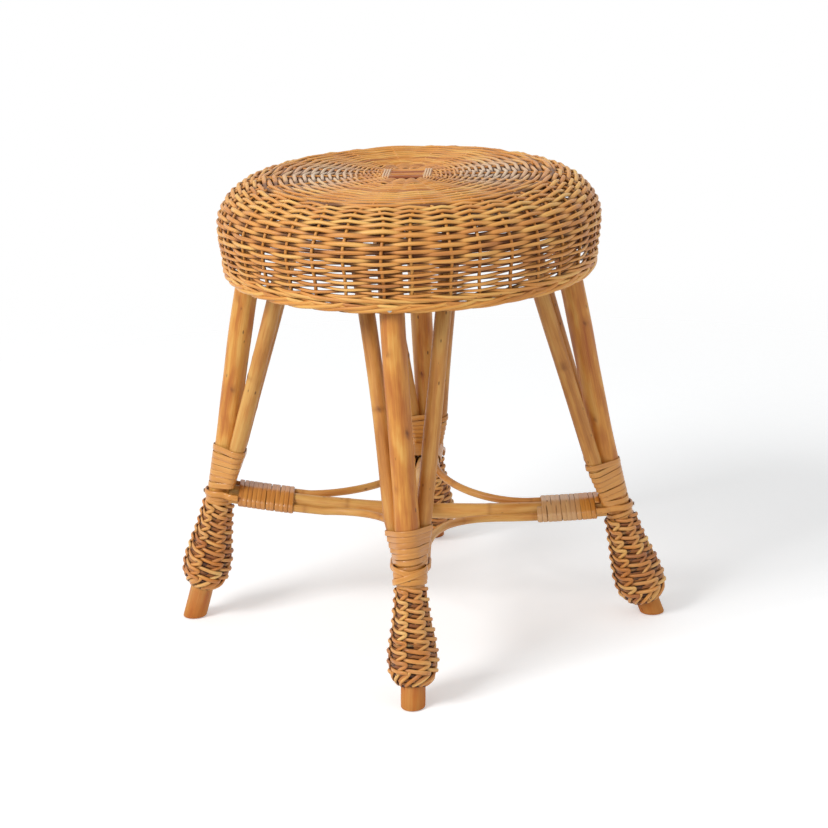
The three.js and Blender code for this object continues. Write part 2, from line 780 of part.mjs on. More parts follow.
// Turns a closed geometry's faces over if they point in.
function outwards(geometry) {
  const place = geometry.attributes.position;
  const index = geometry.index.array;
  const [a, b, c] = [new THREE.Vector3(), new THREE.Vector3(), new THREE.Vector3()];
  let volume = 0;
  for (let i = 0; i < index.length; i += 3) {
    a.fromBufferAttribute(place, index[i]);
    b.fromBufferAttribute(place, index[i + 1]);
    c.fromBufferAttribute(place, index[i + 2]);
    volume += a.dot(b.cross(c));
  }
  if (volume < 0) index.reverse();
  geometry.computeVertexNormals();
  return geometry;
}

// The least distance between a winding's points and those at least most of a loop further on.
function leastGap(sections, loopSteps) {
  let least = Infinity;
  const away = Math.ceil(loopSteps * 0.75);
  for (let i = 0; i < sections.length; i++) {
    for (let j = i + away; j < Math.min(sections.length, i + 2 * loopSteps); j++) {
      for (const here of sections[i]) {
        for (const there of sections[j]) least = Math.min(least, here.distanceTo(there));
      }
    }
  }
  return least;
}

function addWinding(name, winding) {
  const sections = windingSections(winding);
  const width = sections[0][0].distanceTo(sections[0][3]);
  console.log(`${name}: least gap to itself ${leastGap(sections, winding.loopSteps).toFixed(2)} mm`);
  addPiece(name, loft(straightEnds(sections, width)), 'binding');
}

function addLegBinding(leg) {
  const circlesAt = (level) => {
    const frame = leg.frameAt(level);
    const stays = [-1, 1].map((hand) => {
      const away = stayPoint(leg, hand, stayTopLevel(leg), level).sub(frame.centre);
      return { x: away.dot(frame.out), y: away.dot(frame.side), r: stayRadiusAt(leg, level) };
    });
    return [{ x: 0, y: 0, r: poleRadius }, ...stays];
  };
  addWinding(`leg_binding_${leg.name}`, {
    loops: legLoops, loopSteps: legLoopSteps, start: bindingBottom(leg), length: legBindingHeight,
    circlesAt, frameAt: leg.frameAt,
  });
}

function addArmBinding(leg) {
  const start = armBindingInner;
  const up = new THREE.Vector3(0, 0, 1);
  const frameAt = (radius) => frameOn((along) => armPoint(leg, along), radius, up);
  const lifts = armLifts(leg);
  const circles = [
    { x: 0, y: 0, r: rodRadius },
    { x: lifts.plus, y: caneOffset, r: caneRadius },
    { x: lifts.minus, y: -caneOffset, r: caneRadius },
  ];
  addWinding(`arm_binding_${leg.name}`, {
    loops: armLoops, loopSteps: armLoopSteps, start, length: armBindingLength,
    circlesAt: () => circles, frameAt,
  });
}

// The lifts of the canes on the two sides of an arm, where plus is the frame's side direction.
function armLifts(leg) {
  const sideways = leg.out.clone().cross(new THREE.Vector3(0, 0, 1));
  const lift = (direction) => (direction.dot(legs.front.out) > 0.5 ? frontCaneLift : backCaneLift);
  if (Math.abs(leg.out.y) > 0.5) {
    const own = leg.name === 'front' ? frontCaneLift : backCaneLift;
    return { plus: own, minus: own };
  }
  return { plus: lift(sideways), minus: lift(sideways.clone().negate()) };
}

// Straps: a band of split cane round the pole, with its tails along the arm.

function addStrap(leg) {
  const tail = leg.outAt(leg.arm) - armBindingInner - armBindingLength - fit;
  const circles = [
    { x: 0, y: 0, r: strapInner(leg) - fit },
    { x: -poleRadius, y: caneOffset, r: caneRadius },
    { x: -poleRadius, y: -caneOffset, r: caneRadius },
  ];
  const face = (offset) => {
    const points = [];
    for (let i = 0; i < strapSteps; i++) {
      const before = Math.PI * (i / strapSteps - 0.5);
      const after = Math.PI * ((i + 1) / strapSteps - 0.5);
      points.push(hullCorner(circles, before, after, offset));
    }
    const half = hullDistance(circles, Math.PI / 2) + offset;
    return [new THREE.Vector2(-tail, -half), ...points, new THREE.Vector2(-tail, half)];
  };
  const band = new THREE.Shape([...face(fit), ...face(fit + strapThickness).reverse()]);
  const strap = new THREE.ExtrudeGeometry(band, { depth: strapHeight, bevelEnabled: false });
  strap.translate(0, 0, -strapHeight / 2);
  addPiece(`strap_${leg.name}`, cutAway(alongArm(leg, strap), [strapNail(leg, fit)]), 'binding');
}

// Sets a shape on a leg at its arm: what lies inwards of the pole follows the arm.
function alongArm(leg, geometry) {
  const place = geometry.attributes.position;
  for (let i = 0; i < place.count; i++) {
    const point = armPoint(leg, leg.outAt(leg.arm) + Math.min(0, place.getX(i)))
      .addScaledVector(leg.out, Math.max(0, place.getX(i)))
      .addScaledVector(leg.side, place.getY(i));
    place.setXYZ(i, point.x, point.y, point.z + place.getZ(i));
  }
  geometry.computeVertexNormals();
  return geometry;
}

addSeatTop();
addSeatSide();
addBorder();
addHoop();
addUpperRail(-1, 'front');
addUpperRail(1, 'back');
addLowerRail(-1, 'left');
addLowerRail(1, 'right');
addRod('cross_rod_left_right', leftRight, legs.left, legs.right);
addRod('cross_rod_front_back', frontBack, legs.front, legs.back);
for (const leg of legList) {
  addPole(leg);
  addStay(leg, -1, 'a');
  addStay(leg, 1, 'b');
  addLegBinding(leg);
  addArmBinding(leg);
  addBulb(leg);
  addStrap(leg);
  addPiece(`border_nail_${leg.name}`, borderNail(leg, 0), 'steel');
  addPiece(`hoop_nail_${leg.name}`, hoopNail(leg, 0), 'steel');
  addPiece(`strap_nail_${leg.name}`, strapNail(leg, 0), 'steel');
}
const corners = [['front', 'right'], ['right', 'back'], ['back', 'left'], ['left', 'front']];
for (const [from, to] of corners) {
  addCornerCane(legs[from], legs[to]);
}
for (const [xSign, ySign] of [[-1, -1], [1, -1], [1, 1], [-1, 1]]) {
  const label = `${ySign < 0 ? 'front' : 'back'}_${xSign < 0 ? 'left' : 'right'}`;
  addPiece(`rail_nail_${label}`, railNail(xSign, ySign, 0), 'steel');
}

export default stool;
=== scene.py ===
"""Looks of a mudda stool: a round woven seat on four leaning poles with woven foot bulbs.

Shapes are worked out in millimetres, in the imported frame's axes, and become metres when a mesh is made. Z is up and
the front leg stands towards -Y.
"""

import logging
import math
from dataclasses import dataclass, field
from enum import Enum
from typing import Any, Callable, Sequence

import bpy
import numpy as np
from mathutils import Matrix, Vector


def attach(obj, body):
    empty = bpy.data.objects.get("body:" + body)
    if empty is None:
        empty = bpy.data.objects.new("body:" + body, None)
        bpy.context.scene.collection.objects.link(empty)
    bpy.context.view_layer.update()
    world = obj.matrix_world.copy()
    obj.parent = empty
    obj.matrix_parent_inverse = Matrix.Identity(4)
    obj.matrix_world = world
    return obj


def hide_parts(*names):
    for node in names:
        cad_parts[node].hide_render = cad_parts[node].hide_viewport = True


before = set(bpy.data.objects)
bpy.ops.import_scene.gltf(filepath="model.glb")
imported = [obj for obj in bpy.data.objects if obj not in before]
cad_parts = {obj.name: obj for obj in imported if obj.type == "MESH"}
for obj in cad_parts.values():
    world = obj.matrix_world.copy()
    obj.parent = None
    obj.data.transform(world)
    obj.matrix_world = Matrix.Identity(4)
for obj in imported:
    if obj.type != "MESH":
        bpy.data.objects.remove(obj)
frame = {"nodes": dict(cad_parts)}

LOG = logging.getLogger("mudda_stool")
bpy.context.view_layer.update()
MM = 0.001
TAU = 2 * math.pi
UP = np.array([0.0, 0.0, 1.0])
POLE_TOP = 429.4
RAIL_OFFSET = 45.0
GRAIN_SHIFT = 37.0
Array = np.ndarray
Colour = tuple[float, float, float, float]
Section = tuple[Array, Array, Array]
Socket = bpy.types.NodeSocket


class LegName(Enum):
    """The four legs, each with the direction it stands in, in radians about Z."""

    FRONT = -math.pi / 2
    RIGHT = 0.0
    BACK = math.pi / 2
    LEFT = math.pi

    @property
    def label(self) -> str:
        """The leg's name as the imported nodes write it."""
        return self.name.lower()

    @property
    def sideways(self) -> bool:
        """Whether the leg stands to the left or the right."""
        return self in (LegName.LEFT, LegName.RIGHT)

    @property
    def opposite(self) -> "LegName":
        """The leg across the stool."""
        order = list(LegName)
        return order[(order.index(self) + 2) % 4]


class Weave(Enum):
    """How a row passes its stakes, with the number of strands in the row."""

    RANDING = 1
    PAIRING = 2
    WALING = 3


# Plain geometry.


def tint(red: int, green: int, blue: int) -> Colour:
    """Turns a display colour into a linear one.

    Args:
        red: Red, from 0 to 255.
        green: Green, from 0 to 255.
        blue: Blue, from 0 to 255.

    Returns:
        The linear colour with full alpha.
    """
    parts = [channel / 255 for channel in (red, green, blue)]
    linear = [c / 12.92 if c <= 0.04045 else ((c + 0.055) / 1.055) ** 2.4 for c in parts]
    return (linear[0], linear[1], linear[2], 1.0)


def unit(vectors: Array) -> Array:
    """Scales vectors to length one."""
    return vectors / np.maximum(np.linalg.norm(vectors, axis=-1, keepdims=True), 1e-9)


def powered(values: Array, power: float) -> Array:
    """Raises values to a power and keeps their signs."""
    return np.sign(values) * np.abs(values) ** power


def smooth_step(low: float, high: float, values: Any) -> Array:
    """Rises smoothly from zero at low to one at high."""
    share = np.clip((np.asarray(values, float) - low) / (high - low), 0, 1)
    return share * share * (3 - 2 * share)


def run_along(points: Array) -> Array:
    """Distances of a line's points from its first one, measured along it."""
    return np.concatenate([[0], np.cumsum(np.linalg.norm(np.diff(points, axis=0), axis=1))])


def read_rows(wanted: Array, known: Array, rows: Array) -> Array:
    """Reads rows of numbers at the wanted places between the known ones."""
    return np.stack([np.interp(wanted, known, column) for column in rows.T], axis=-1)


def evenly(points: Array, count: int) -> Array:
    """Spaces points evenly along the open line that they make."""
    lengths = run_along(points)
    return read_rows(np.linspace(0, lengths[-1], count), lengths, points)


def cyclic(directions: Array, place: Any) -> Array:
    """Reads a ring of rising directions at places between them, counted from the first."""
    longer = np.concatenate([directions + lap * TAU for lap in (-1, 0, 1, 2)])
    return np.interp(np.asarray(place, float) + len(directions), np.arange(len(longer)), longer)


def through(levels: Sequence[float], values: Sequence[float], level: Any) -> Array:
    """Evaluates the polynomial that takes the given values at the given levels.

    Args:
        levels: Where the values are known.
        values: The known values.
        level: Where the polynomial is wanted.

    Returns:
        The polynomial's values.
    """
    level = np.asarray(level, float)
    total = np.zeros_like(level)
    for here, value in zip(levels, values):
        weight = np.full_like(level, value)
        for other in levels:
            if other != here:
                weight = weight * (level - other) / (here - other)
        total = total + weight
    return total


def spline(knots: Array, steps: int) -> Array:
    """Runs a smooth curve through knots.

    Args:
        knots: The points to pass, one a row.
        steps: Points made for each span.

    Returns:
        The curve's points, one a row.
    """
    around = np.vstack([2 * knots[:1] - knots[1:2], knots, 2 * knots[-1:] - knots[-2:-1]])
    share = (np.arange(steps) / steps)[:, None]
    spans = []
    for a, b, c, d in zip(around, around[1:], around[2:], around[3:]):
        bend = 2 * a - 5 * b + 4 * c - d
        twist = 3 * b - a - 3 * c + d
        spans.append(0.5 * (2 * b + (c - a) * share + bend * share ** 2 + twist * share ** 3))
    return np.vstack([*spans, knots[-1:]])


# Sweeps of cane.


@dataclass
class CaneMesh:
    """One mesh made of swept lengths of cane, with the measures that its material reads.

    The "lay" layer holds a point's place across and along its strand, in millimetres. The "tone" layer holds the
    strand's tone, its painted shade from its depth behind other strands and from its own inward flank, and its
    paleness, and "marks" holds knots, scars and wear, with painted shade inside a foot bulb in its knot channel.
    """

    name: str
    points: list[Array] = field(default_factory=list)
    faces: list[Any] = field(default_factory=list)
    layers: dict[str, list[Array]] = field(default_factory=lambda: {"lay": [], "tone": [], "marks": []})
    count: int = 0

    def sweep(self, path: Array, outward: Array, width: Any, height: Any, *, sides: int = 8, closed: bool = False,
              tone: float = 0.5, depth: Any = 0.0, pale: Any = 0.0, seed: float = 0.0, fullness: float = 1.0,
              swell: Array | None = None, marks: Array | None = None, shading: float = 0.75) -> None:
        """Adds one length of cane.

        Args:
            path: The middle line's points, one a row.
            outward: The direction that each section's top faces, one for each point or one for all.
            width: Size across the outward direction, one for each point or one for all.
            height: Size along the outward direction.
            sides: Corners of a section.
            closed: Whether the cane is a ring.
            tone: The strand's tone, from dark at 0 to light at 1.
            depth: How deep each point lies behind other strands, from 0 to 1; painted shade darkens it by this much.
            pale: How greyed each point is, from 0 to 1.
            seed: A number that sets this strand's grain apart.
            fullness: The section's power: 1 is round, and less is flatter with round edges.
            swell: Radial growth of each corner of each section.
            marks: Knot, scar and wear of each corner of each section; the knot channel also carries painted shade.
            shading: How dark the painted shade on the strand's own inward flank and edges goes.
        """
        count = len(path)
        ahead = np.roll(path, -1, axis=0) - np.roll(path, 1, axis=0) if closed else np.gradient(path, axis=0)
        along = unit(ahead)
        top = unit(outward - (outward * along).sum(axis=1, keepdims=True) * along)
        across = np.cross(along, top)
        angle = TAU * np.arange(sides) / sides
        cos, sin = np.cos(angle), np.sin(angle)

        def column(values: Any) -> Array:
            """One value for each section, as a column."""
            return np.broadcast_to(np.asarray(values, float), (count,))[:, None]

        half_width, half_height = column(width) / 2, column(height) / 2
        x, y = half_width * powered(cos, fullness), half_height * powered(sin, fullness)
        if swell is not None:
            x, y = x * (1 + swell / half_width), y * (1 + swell / half_height)
        place = path[:, None] + across[:, None] * x[..., None] + top[:, None] * y[..., None]
        run = run_along(path)[:, None] + GRAIN_SHIFT * seed
        # Painted shade: darker where a strand lies behind others and on its own inward flank and edges.
        crevice = np.clip(0.75 * column(depth) + shading * ((1 - sin) / 2) ** 0.95, 0, 1)
        shade = [np.full_like(x, tone), crevice, np.broadcast_to(column(pale), x.shape), np.ones_like(x)]
        layers = {"lay": np.stack([x, y, np.broadcast_to(run, x.shape)], axis=2), "tone": np.stack(shade, axis=2),
                  "marks": np.zeros((count, sides, 4)) if marks is None else marks}
        for name, values in layers.items():
            self.layers[name].append(values.reshape(-1, values.shape[2]))
        self.points.append(place.reshape(-1, 3))
        i = np.arange(count if closed else count - 1)[:, None]
        k = np.arange(sides)[None, :]
        here, after = i * sides, ((i + 1) % count) * sides
        quads = np.stack([here + k, after + k, after + (k + 1) % sides, here + (k + 1) % sides], axis=2)
        self.faces.extend((quads.reshape(-1, 4) + self.count).tolist())
        if not closed:
            self.faces.append((self.count + np.arange(sides)).tolist())
            self.faces.append((self.count + (count - 1) * sides + np.arange(sides)[::-1]).tolist())
        self.count += count * sides

    def build(self, material: bpy.types.Material) -> bpy.types.Object:
        """Makes the Blender object.

        Args:
            material: The finish of the whole mesh.

        Returns:
            The object, linked to the scene.
        """
        mesh = bpy.data.meshes.new(self.name)
        mesh.from_pydata((np.vstack(self.points) * MM).tolist(), [], self.faces)
        mesh.polygons.foreach_set("use_smooth", np.ones(len(mesh.polygons), bool))
        for name, rows in self.layers.items():
            kind, key = ("FLOAT_VECTOR", "vector") if name == "lay" else ("FLOAT_COLOR", "color")
            attribute = mesh.attributes.new(name, kind, "POINT")
            attribute.data.foreach_set(key, np.vstack(rows).astype(np.float32).ravel())
        mesh.materials.append(material)
        mesh.update()
        piece = bpy.data.objects.new(self.name, mesh)
        bpy.context.scene.collection.objects.link(piece)
        return piece


# Shader parts.


@dataclass
class Graph:
    """Short ways to add nodes to a tree."""

    tree: bpy.types.NodeTree

    @classmethod
    def of(cls, owner: Any) -> "Graph":
        """Opens the node tree of a material or a world, emptied.

        Args:
            owner: The material or world.

        Returns:
            The tree's graph.
        """
        owner.use_nodes = True
        owner.node_tree.nodes.clear()
        return cls(owner.node_tree)

    def node(self, kind: str, inputs: dict[Any, Any] | None = None, **settings: Any) -> bpy.types.Node:
        """Adds a node.

        Args:
            kind: The node's type.
            inputs: Values or sockets for its inputs, by name or number.
            settings: Properties of the node.

        Returns:
            The node.
        """
        made = self.tree.nodes.new(kind)
        for key, value in settings.items():
            setattr(made, key, value)
        for key, value in (inputs or {}).items():
            if isinstance(value, Socket):
                self.tree.links.new(value, made.inputs[key])
            else:
                made.inputs[key].default_value = value
        return made

    def maths(self, operation: str, first: Any, second: Any = 0.0, clamp: bool = False) -> Socket:
        """Adds a Math node and gives its result."""
        return self.node("ShaderNodeMath", {0: first, 1: second}, operation=operation, use_clamp=clamp).outputs[0]

    def blend(self, share: Any, first: Any, second: Any) -> Socket:
        """Adds a colour Mix node and gives its result."""
        return self.node("ShaderNodeMix", {0: share, 6: first, 7: second}, data_type="RGBA").outputs[2]

    def between(self, value: Any, low: float, high: float, start: float = 0.0, end: float = 1.0) -> Socket:
        """Adds a smooth Map Range node and gives its result."""
        return self.node("ShaderNodeMapRange", {0: value, 1: low, 2: high, 3: start, 4: end},
                         interpolation_type="SMOOTHSTEP").outputs[0]

    def noise(self, place: Any, scale: float, detail: float = 3.0, roughness: float = 0.5) -> Socket:
        """Adds a Noise Texture node and gives its value."""
        return self.node("ShaderNodeTexNoise", {"Vector": place, "Scale": scale, "Detail": detail,
                                                "Roughness": roughness}).outputs[0]

    def scaled(self, lay: Any, across: Any, along: Any) -> Socket:
        """Scales a strand's lay across the strand and along it."""
        scales = self.node("ShaderNodeCombineXYZ", {0: across, 1: across, 2: along}).outputs[0]
        return self.node("ShaderNodeVectorMath", {0: lay, 1: scales}, operation="MULTIPLY").outputs[0]

    def layer(self, name: str) -> Any:
        """Reads a colour layer of the mesh and gives its channels."""
        read = self.node("ShaderNodeAttribute", attribute_name=name).outputs["Color"]
        return self.node("ShaderNodeSeparateColor", {0: read}).outputs

    def seen(self) -> Socket:
        """Marks what the camera sees, directly, in a gloss or through a clear surface.

        Returns:
            One for what it sees, and zero for the rest.
        """
        rays = self.node("ShaderNodeLightPath").outputs
        return self.maths("MAXIMUM", rays["Is Camera Ray"],
                          self.maths("MAXIMUM", rays["Is Glossy Ray"], rays["Is Transmission Ray"]))

    def send(self, sockets: Any, **values: Socket) -> None:
        """Links values to sockets by name."""
        for name, value in values.items():
            self.tree.links.new(value, sockets[name])


class ShaderKit:
    """The node groups that several finishes share, each built once."""

    def __init__(self) -> None:
        """Builds the groups."""
        self.grain, self.strand_tone = self.make_grain(), self.make_strand_tone()
        self.crevice, self.flecks, self.dust = self.make_crevice(), self.make_flecks(), self.make_dust()

    @staticmethod
    def start(name: str, inputs: dict[str, str], outputs: dict[str, str]) -> tuple[Graph, Any, Any]:
        """Opens a node group.

        Args:
            name: The group's name.
            inputs: Socket types by input name.
            outputs: Socket types by output name.

        Returns:
            The group's graph, the sockets that its inputs give, and the sockets that take its outputs.
        """
        tree = bpy.data.node_groups.new(name, "ShaderNodeTree")
        for way, sockets in (("INPUT", inputs), ("OUTPUT", outputs)):
            for label, kind in sockets.items():
                tree.interface.new_socket(name=label, in_out=way, socket_type="NodeSocket" + kind)
        return Graph(tree), tree.nodes.new("NodeGroupInput").outputs, tree.nodes.new("NodeGroupOutput").inputs

    def make_grain(self) -> bpy.types.NodeTree:
        """Builds long grain: fibres that run along a strand, and slow patches.

        Returns:
            The group, which puts out a streak mask, a height and a patch value.
        """
        graph, given, result = self.start(
            "long_grain", {"Lay": "Vector", "Fineness": "Float", "Stretch": "Float"},
            {"Streak": "Float", "Height": "Float", "Patch": "Float"})
        place = graph.scaled(given["Lay"], given["Fineness"],
                             graph.maths("DIVIDE", given["Fineness"], given["Stretch"]))
        streak = graph.between(graph.noise(place, 0.45, 3.0, 0.6), 0.34, 0.66)
        fibre = graph.between(graph.noise(place, 2.2, 4.0, 0.65), 0.3, 0.7)

        def mixed(share: float) -> Socket:
            """Adds a share of the streaks to the fibres."""
            return graph.maths("ADD", graph.maths("MULTIPLY", streak, share),
                               graph.maths("MULTIPLY", fibre, 1 - share))

        wide = graph.noise(graph.scaled(given["Lay"], 1.0, 0.22), 0.085)
        graph.send(result, Streak=mixed(0.6), Height=mixed(0.45), Patch=graph.between(wide, 0.36, 0.64, -0.5, 0.5))
        return graph.tree

    def make_strand_tone(self) -> bpy.types.NodeTree:
        """Builds the colour of one strand among its neighbours.

        Returns:
            The group, which puts out a colour from the strand's tone, grain and paleness.
        """
        graph, given, result = self.start(
            "strand_tone", {"Dark": "Color", "Body": "Color", "Light": "Color", "Pale": "Color", "Tone": "Float",
                            "Paleness": "Float", "Streak": "Float"}, {"Color": "Color"})
        lifted = graph.maths("ADD", graph.maths("MULTIPLY", given["Streak"], 0.34),
                             graph.maths("SUBTRACT", given["Tone"], 0.17), clamp=True)
        low = graph.maths("MULTIPLY", lifted, 2.0, clamp=True)
        high = graph.maths("SUBTRACT", graph.maths("MULTIPLY", lifted, 2.0), 1.0, clamp=True)
        bright = graph.blend(high, graph.blend(low, given["Dark"], given["Body"]), given["Light"])
        graph.send(result, Color=graph.blend(given["Paleness"], bright, given["Pale"]))
        return graph.tree

    def make_crevice(self) -> bpy.types.NodeTree:
        """Builds the painted shade where strands meet and on their inward flanks, towards the deep colour.

        Returns:
            The group, which puts out the colour darkened by painted shade and the shade's mask.
        """
        graph, given, result = self.start(
            "crevice_varnish", {"Color": "Color", "Deep": "Color", "Depth": "Float", "Strength": "Float"},
            {"Color": "Color", "Mask": "Float"})
        # Painted shade: the deeper the point, the more its colour goes to the deep colour.
        mask = graph.maths("MULTIPLY", graph.between(given["Depth"], 0.12, 0.85), given["Strength"], clamp=True)
        graph.send(result, Color=graph.blend(mask, given["Color"], given["Deep"]), Mask=mask)
        return graph.tree

    def make_flecks(self) -> bpy.types.NodeTree:
        """Builds small dark flecks strewn along a cane.

        Returns:
            The group, which puts out the flecks' mask.
        """
        graph, given, result = self.start(
            "bark_flecks", {"Lay": "Vector", "Spacing": "Float", "Size": "Float", "Amount": "Float"},
            {"Mask": "Float"})
        pace = graph.maths("DIVIDE", 1.0, given["Spacing"])
        cells = graph.node("ShaderNodeTexVoronoi", {
            "Vector": graph.scaled(given["Lay"], pace, graph.maths("MULTIPLY", pace, 0.4)), "Scale": 1.0}).outputs
        chance = graph.node("ShaderNodeSeparateColor", {0: cells["Color"]}).outputs[0]
        chosen = graph.maths("LESS_THAN", chance, given["Amount"])
        dot = graph.between(graph.maths("DIVIDE", cells["Distance"], given["Size"]), 0.4, 1.0, 1.0, 0.0)
        graph.send(result, Mask=graph.maths("MULTIPLY", dot, chosen))
        return graph.tree

    def make_dust(self) -> bpy.types.NodeTree:
        """Builds a thin uneven greying on faces that look up.

        Returns:
            The group, which puts out the greyed colour.
        """
        graph, given, result = self.start(
            "settled_dust", {"Color": "Color", "Dust": "Color", "Amount": "Float"}, {"Color": "Color"})
        shape = graph.node("ShaderNodeNewGeometry").outputs
        facing = graph.node("ShaderNodeSeparateXYZ", {0: shape["Normal"]}).outputs[2]
        cover = graph.maths("MULTIPLY", graph.between(facing, 0.1, 1.0),
                            graph.between(graph.noise(shape["Position"], 38.0), 0.35, 0.7))
        share = graph.maths("MULTIPLY", cover, given["Amount"], clamp=True)
        graph.send(result, Color=graph.blend(share, given["Color"], given["Dust"]))
        return graph.tree


@dataclass(frozen=True)
class CaneFinish:
    """A varnished cane: its colours, gloss and grain."""

    name: str
    dark: Colour
    body: Colour
    light: Colour
    # The deep colour serves flecks, knots and the painted shade between strands.
    deep: Colour
    pale: Colour
    roughness: float = 0.42
    coat: float = 0.12
    coat_roughness: float = 0.2
    ior: float = 1.45
    fineness: float = 0.8
    stretch: float = 24.0
    patchiness: float = 0.12
    relief: float = 0.00012
    # Strength of the painted shade between strands and on their inward flanks.
    crevice: float = 0.55
    fleck_spacing: float = 9.0
    fleck_size: float = 0.12
    fleck_amount: float = 0.2
    fleck_strength: float = 0.75
    scar_strength: float = 0.6
    # The knot channel also carries the painted shade on a pole inside its foot bulb.
    knot_strength: float = 0.9
    dust: float = 0.03

    def material(self, kit: ShaderKit) -> bpy.types.Material:
        """Makes the finish's material.

        Args:
            kit: The shared node groups.

        Returns:
            The material.
        """
        made = bpy.data.materials.new(self.name)
        graph = Graph.of(made)

        def group(tree: bpy.types.NodeTree, inputs: dict[str, Any]) -> Any:
            """Places a shared group with this finish's values and gives its outputs."""
            return graph.node("ShaderNodeGroup", inputs, node_tree=tree).outputs

        def marked(strength: float, mask: Socket, under: Socket, colour: Colour) -> Socket:
            """Lays a colour over another where a mask says."""
            return graph.blend(graph.maths("MULTIPLY", mask, strength, clamp=True), under, colour)

        lay = graph.node("ShaderNodeAttribute", attribute_name="lay").outputs["Vector"]
        tone, depth, paleness = graph.layer("tone")
        knot, scar, wear = graph.layer("marks")
        grain = group(kit.grain, {"Lay": lay, "Fineness": self.fineness, "Stretch": self.stretch})
        patched = graph.maths("ADD", graph.maths("MULTIPLY", grain["Patch"], self.patchiness), tone)
        strand = group(kit.strand_tone, {
            "Dark": self.dark, "Body": self.body, "Light": self.light, "Pale": self.pale,
            "Tone": patched, "Paleness": paleness, "Streak": grain["Streak"]})
        flecks = group(kit.flecks, {"Lay": lay, "Spacing": self.fleck_spacing, "Size": self.fleck_size,
                                    "Amount": self.fleck_amount})
        flecked = marked(self.fleck_strength, flecks["Mask"], strand["Color"], self.deep)
        scarred = marked(self.scar_strength, scar, flecked, self.dark)
        # The knot channel also holds the painted shade on a pole inside its foot bulb.
        knotted_and_shaded = marked(self.knot_strength, knot, scarred, self.deep)
        # Painted shade where strands meet and on their inward flanks.
        crevice_shaded = group(kit.crevice, {"Color": knotted_and_shaded, "Deep": self.deep, "Depth": depth, "Strength": self.crevice})
        dusted = group(kit.dust, {"Color": crevice_shaded["Color"], "Dust": self.pale, "Amount": self.dust})
        rough = graph.maths("ADD", graph.maths("MULTIPLY", grain["Streak"], 0.12),
                            graph.maths("MULTIPLY", crevice_shaded["Mask"], 0.25))
        worn = graph.maths("ADD", rough, graph.maths("MULTIPLY", wear, 0.3))
        gloss = graph.maths("MULTIPLY", graph.maths("SUBTRACT", 1.0, wear, clamp=True), self.coat)
        height = graph.maths("SUBTRACT", grain["Height"], graph.maths("MULTIPLY", knot, 0.8))
        bump = graph.node("ShaderNodeBump", {"Strength": 1.0, "Distance": self.relief, "Height": height})
        shader = graph.node("ShaderNodeBsdfPrincipled", {
            "Base Color": dusted["Color"], "Roughness": graph.maths("ADD", worn, self.roughness, clamp=True),
            "Coat Weight": gloss, "Normal": bump.outputs["Normal"]})
        shader.inputs["Coat Roughness"].default_value = self.coat_roughness
        shader.inputs["IOR"].default_value = self.ior
        graph.node("ShaderNodeOutputMaterial", {"Surface": shader.outputs[0]})
        return made


@dataclass(frozen=True)
class SteelFinish:
    """Dull nail steel with rusty specks."""

    name: str
    colour: Colour
    rust: Colour

    def material(self) -> bpy.types.Material:
        """Makes the finish's material.

        Returns:
            The material.
        """
        made = bpy.data.materials.new(self.name)
        graph = Graph.of(made)
        place = graph.node("ShaderNodeTexCoord").outputs["Object"]
        rusty = graph.between(graph.noise(place, 900.0, 4.0), 0.52, 0.68)
        shader = graph.node("ShaderNodeBsdfPrincipled", {
            "Base Color": graph.blend(rusty, self.colour, self.rust),
            "Metallic": graph.maths("SUBTRACT", 1.0, rusty),
            "Roughness": graph.maths("ADD", 0.32, graph.maths("MULTIPLY", rusty, 0.4))})
        graph.node("ShaderNodeOutputMaterial", {"Surface": shader.outputs[0]})
        return made


# Lines that the pieces share.


@dataclass(frozen=True)
class LegStray:
    """How a hand-bent leg strays from the common one, with shares of a pole's or a stay's diameter."""

    out_shares: tuple[float, ...] = (0, 0, 0, 0)
    side_shares: tuple[float, ...] = (0, 0, 0, 0)
    arm_share: float = 1.0
    bulb_share: float = 1.0
    bow_shares: tuple[float, float] = (0, 0)


STRAYS = {
    LegName.FRONT: LegStray(side_shares=(0.2, 0.03, -0.33, -0.42), bow_shares=(0, -0.2)),
    LegName.RIGHT: LegStray((0, -0.26, -0.22, 0), (0, 0.02, 0.03, 0), 0.966, 1.07, (-0.08, 0.06)),
    LegName.BACK: LegStray(side_shares=(0, 0.06, 0.15, 0.18), arm_share=0.932, bow_shares=(-0.05, -0.1)),
    LegName.LEFT: LegStray((0, 0, 0, 0.13), (0, -0.02, 0, 0), 1.125, 1.02, (-0.1, 0.04)),
}


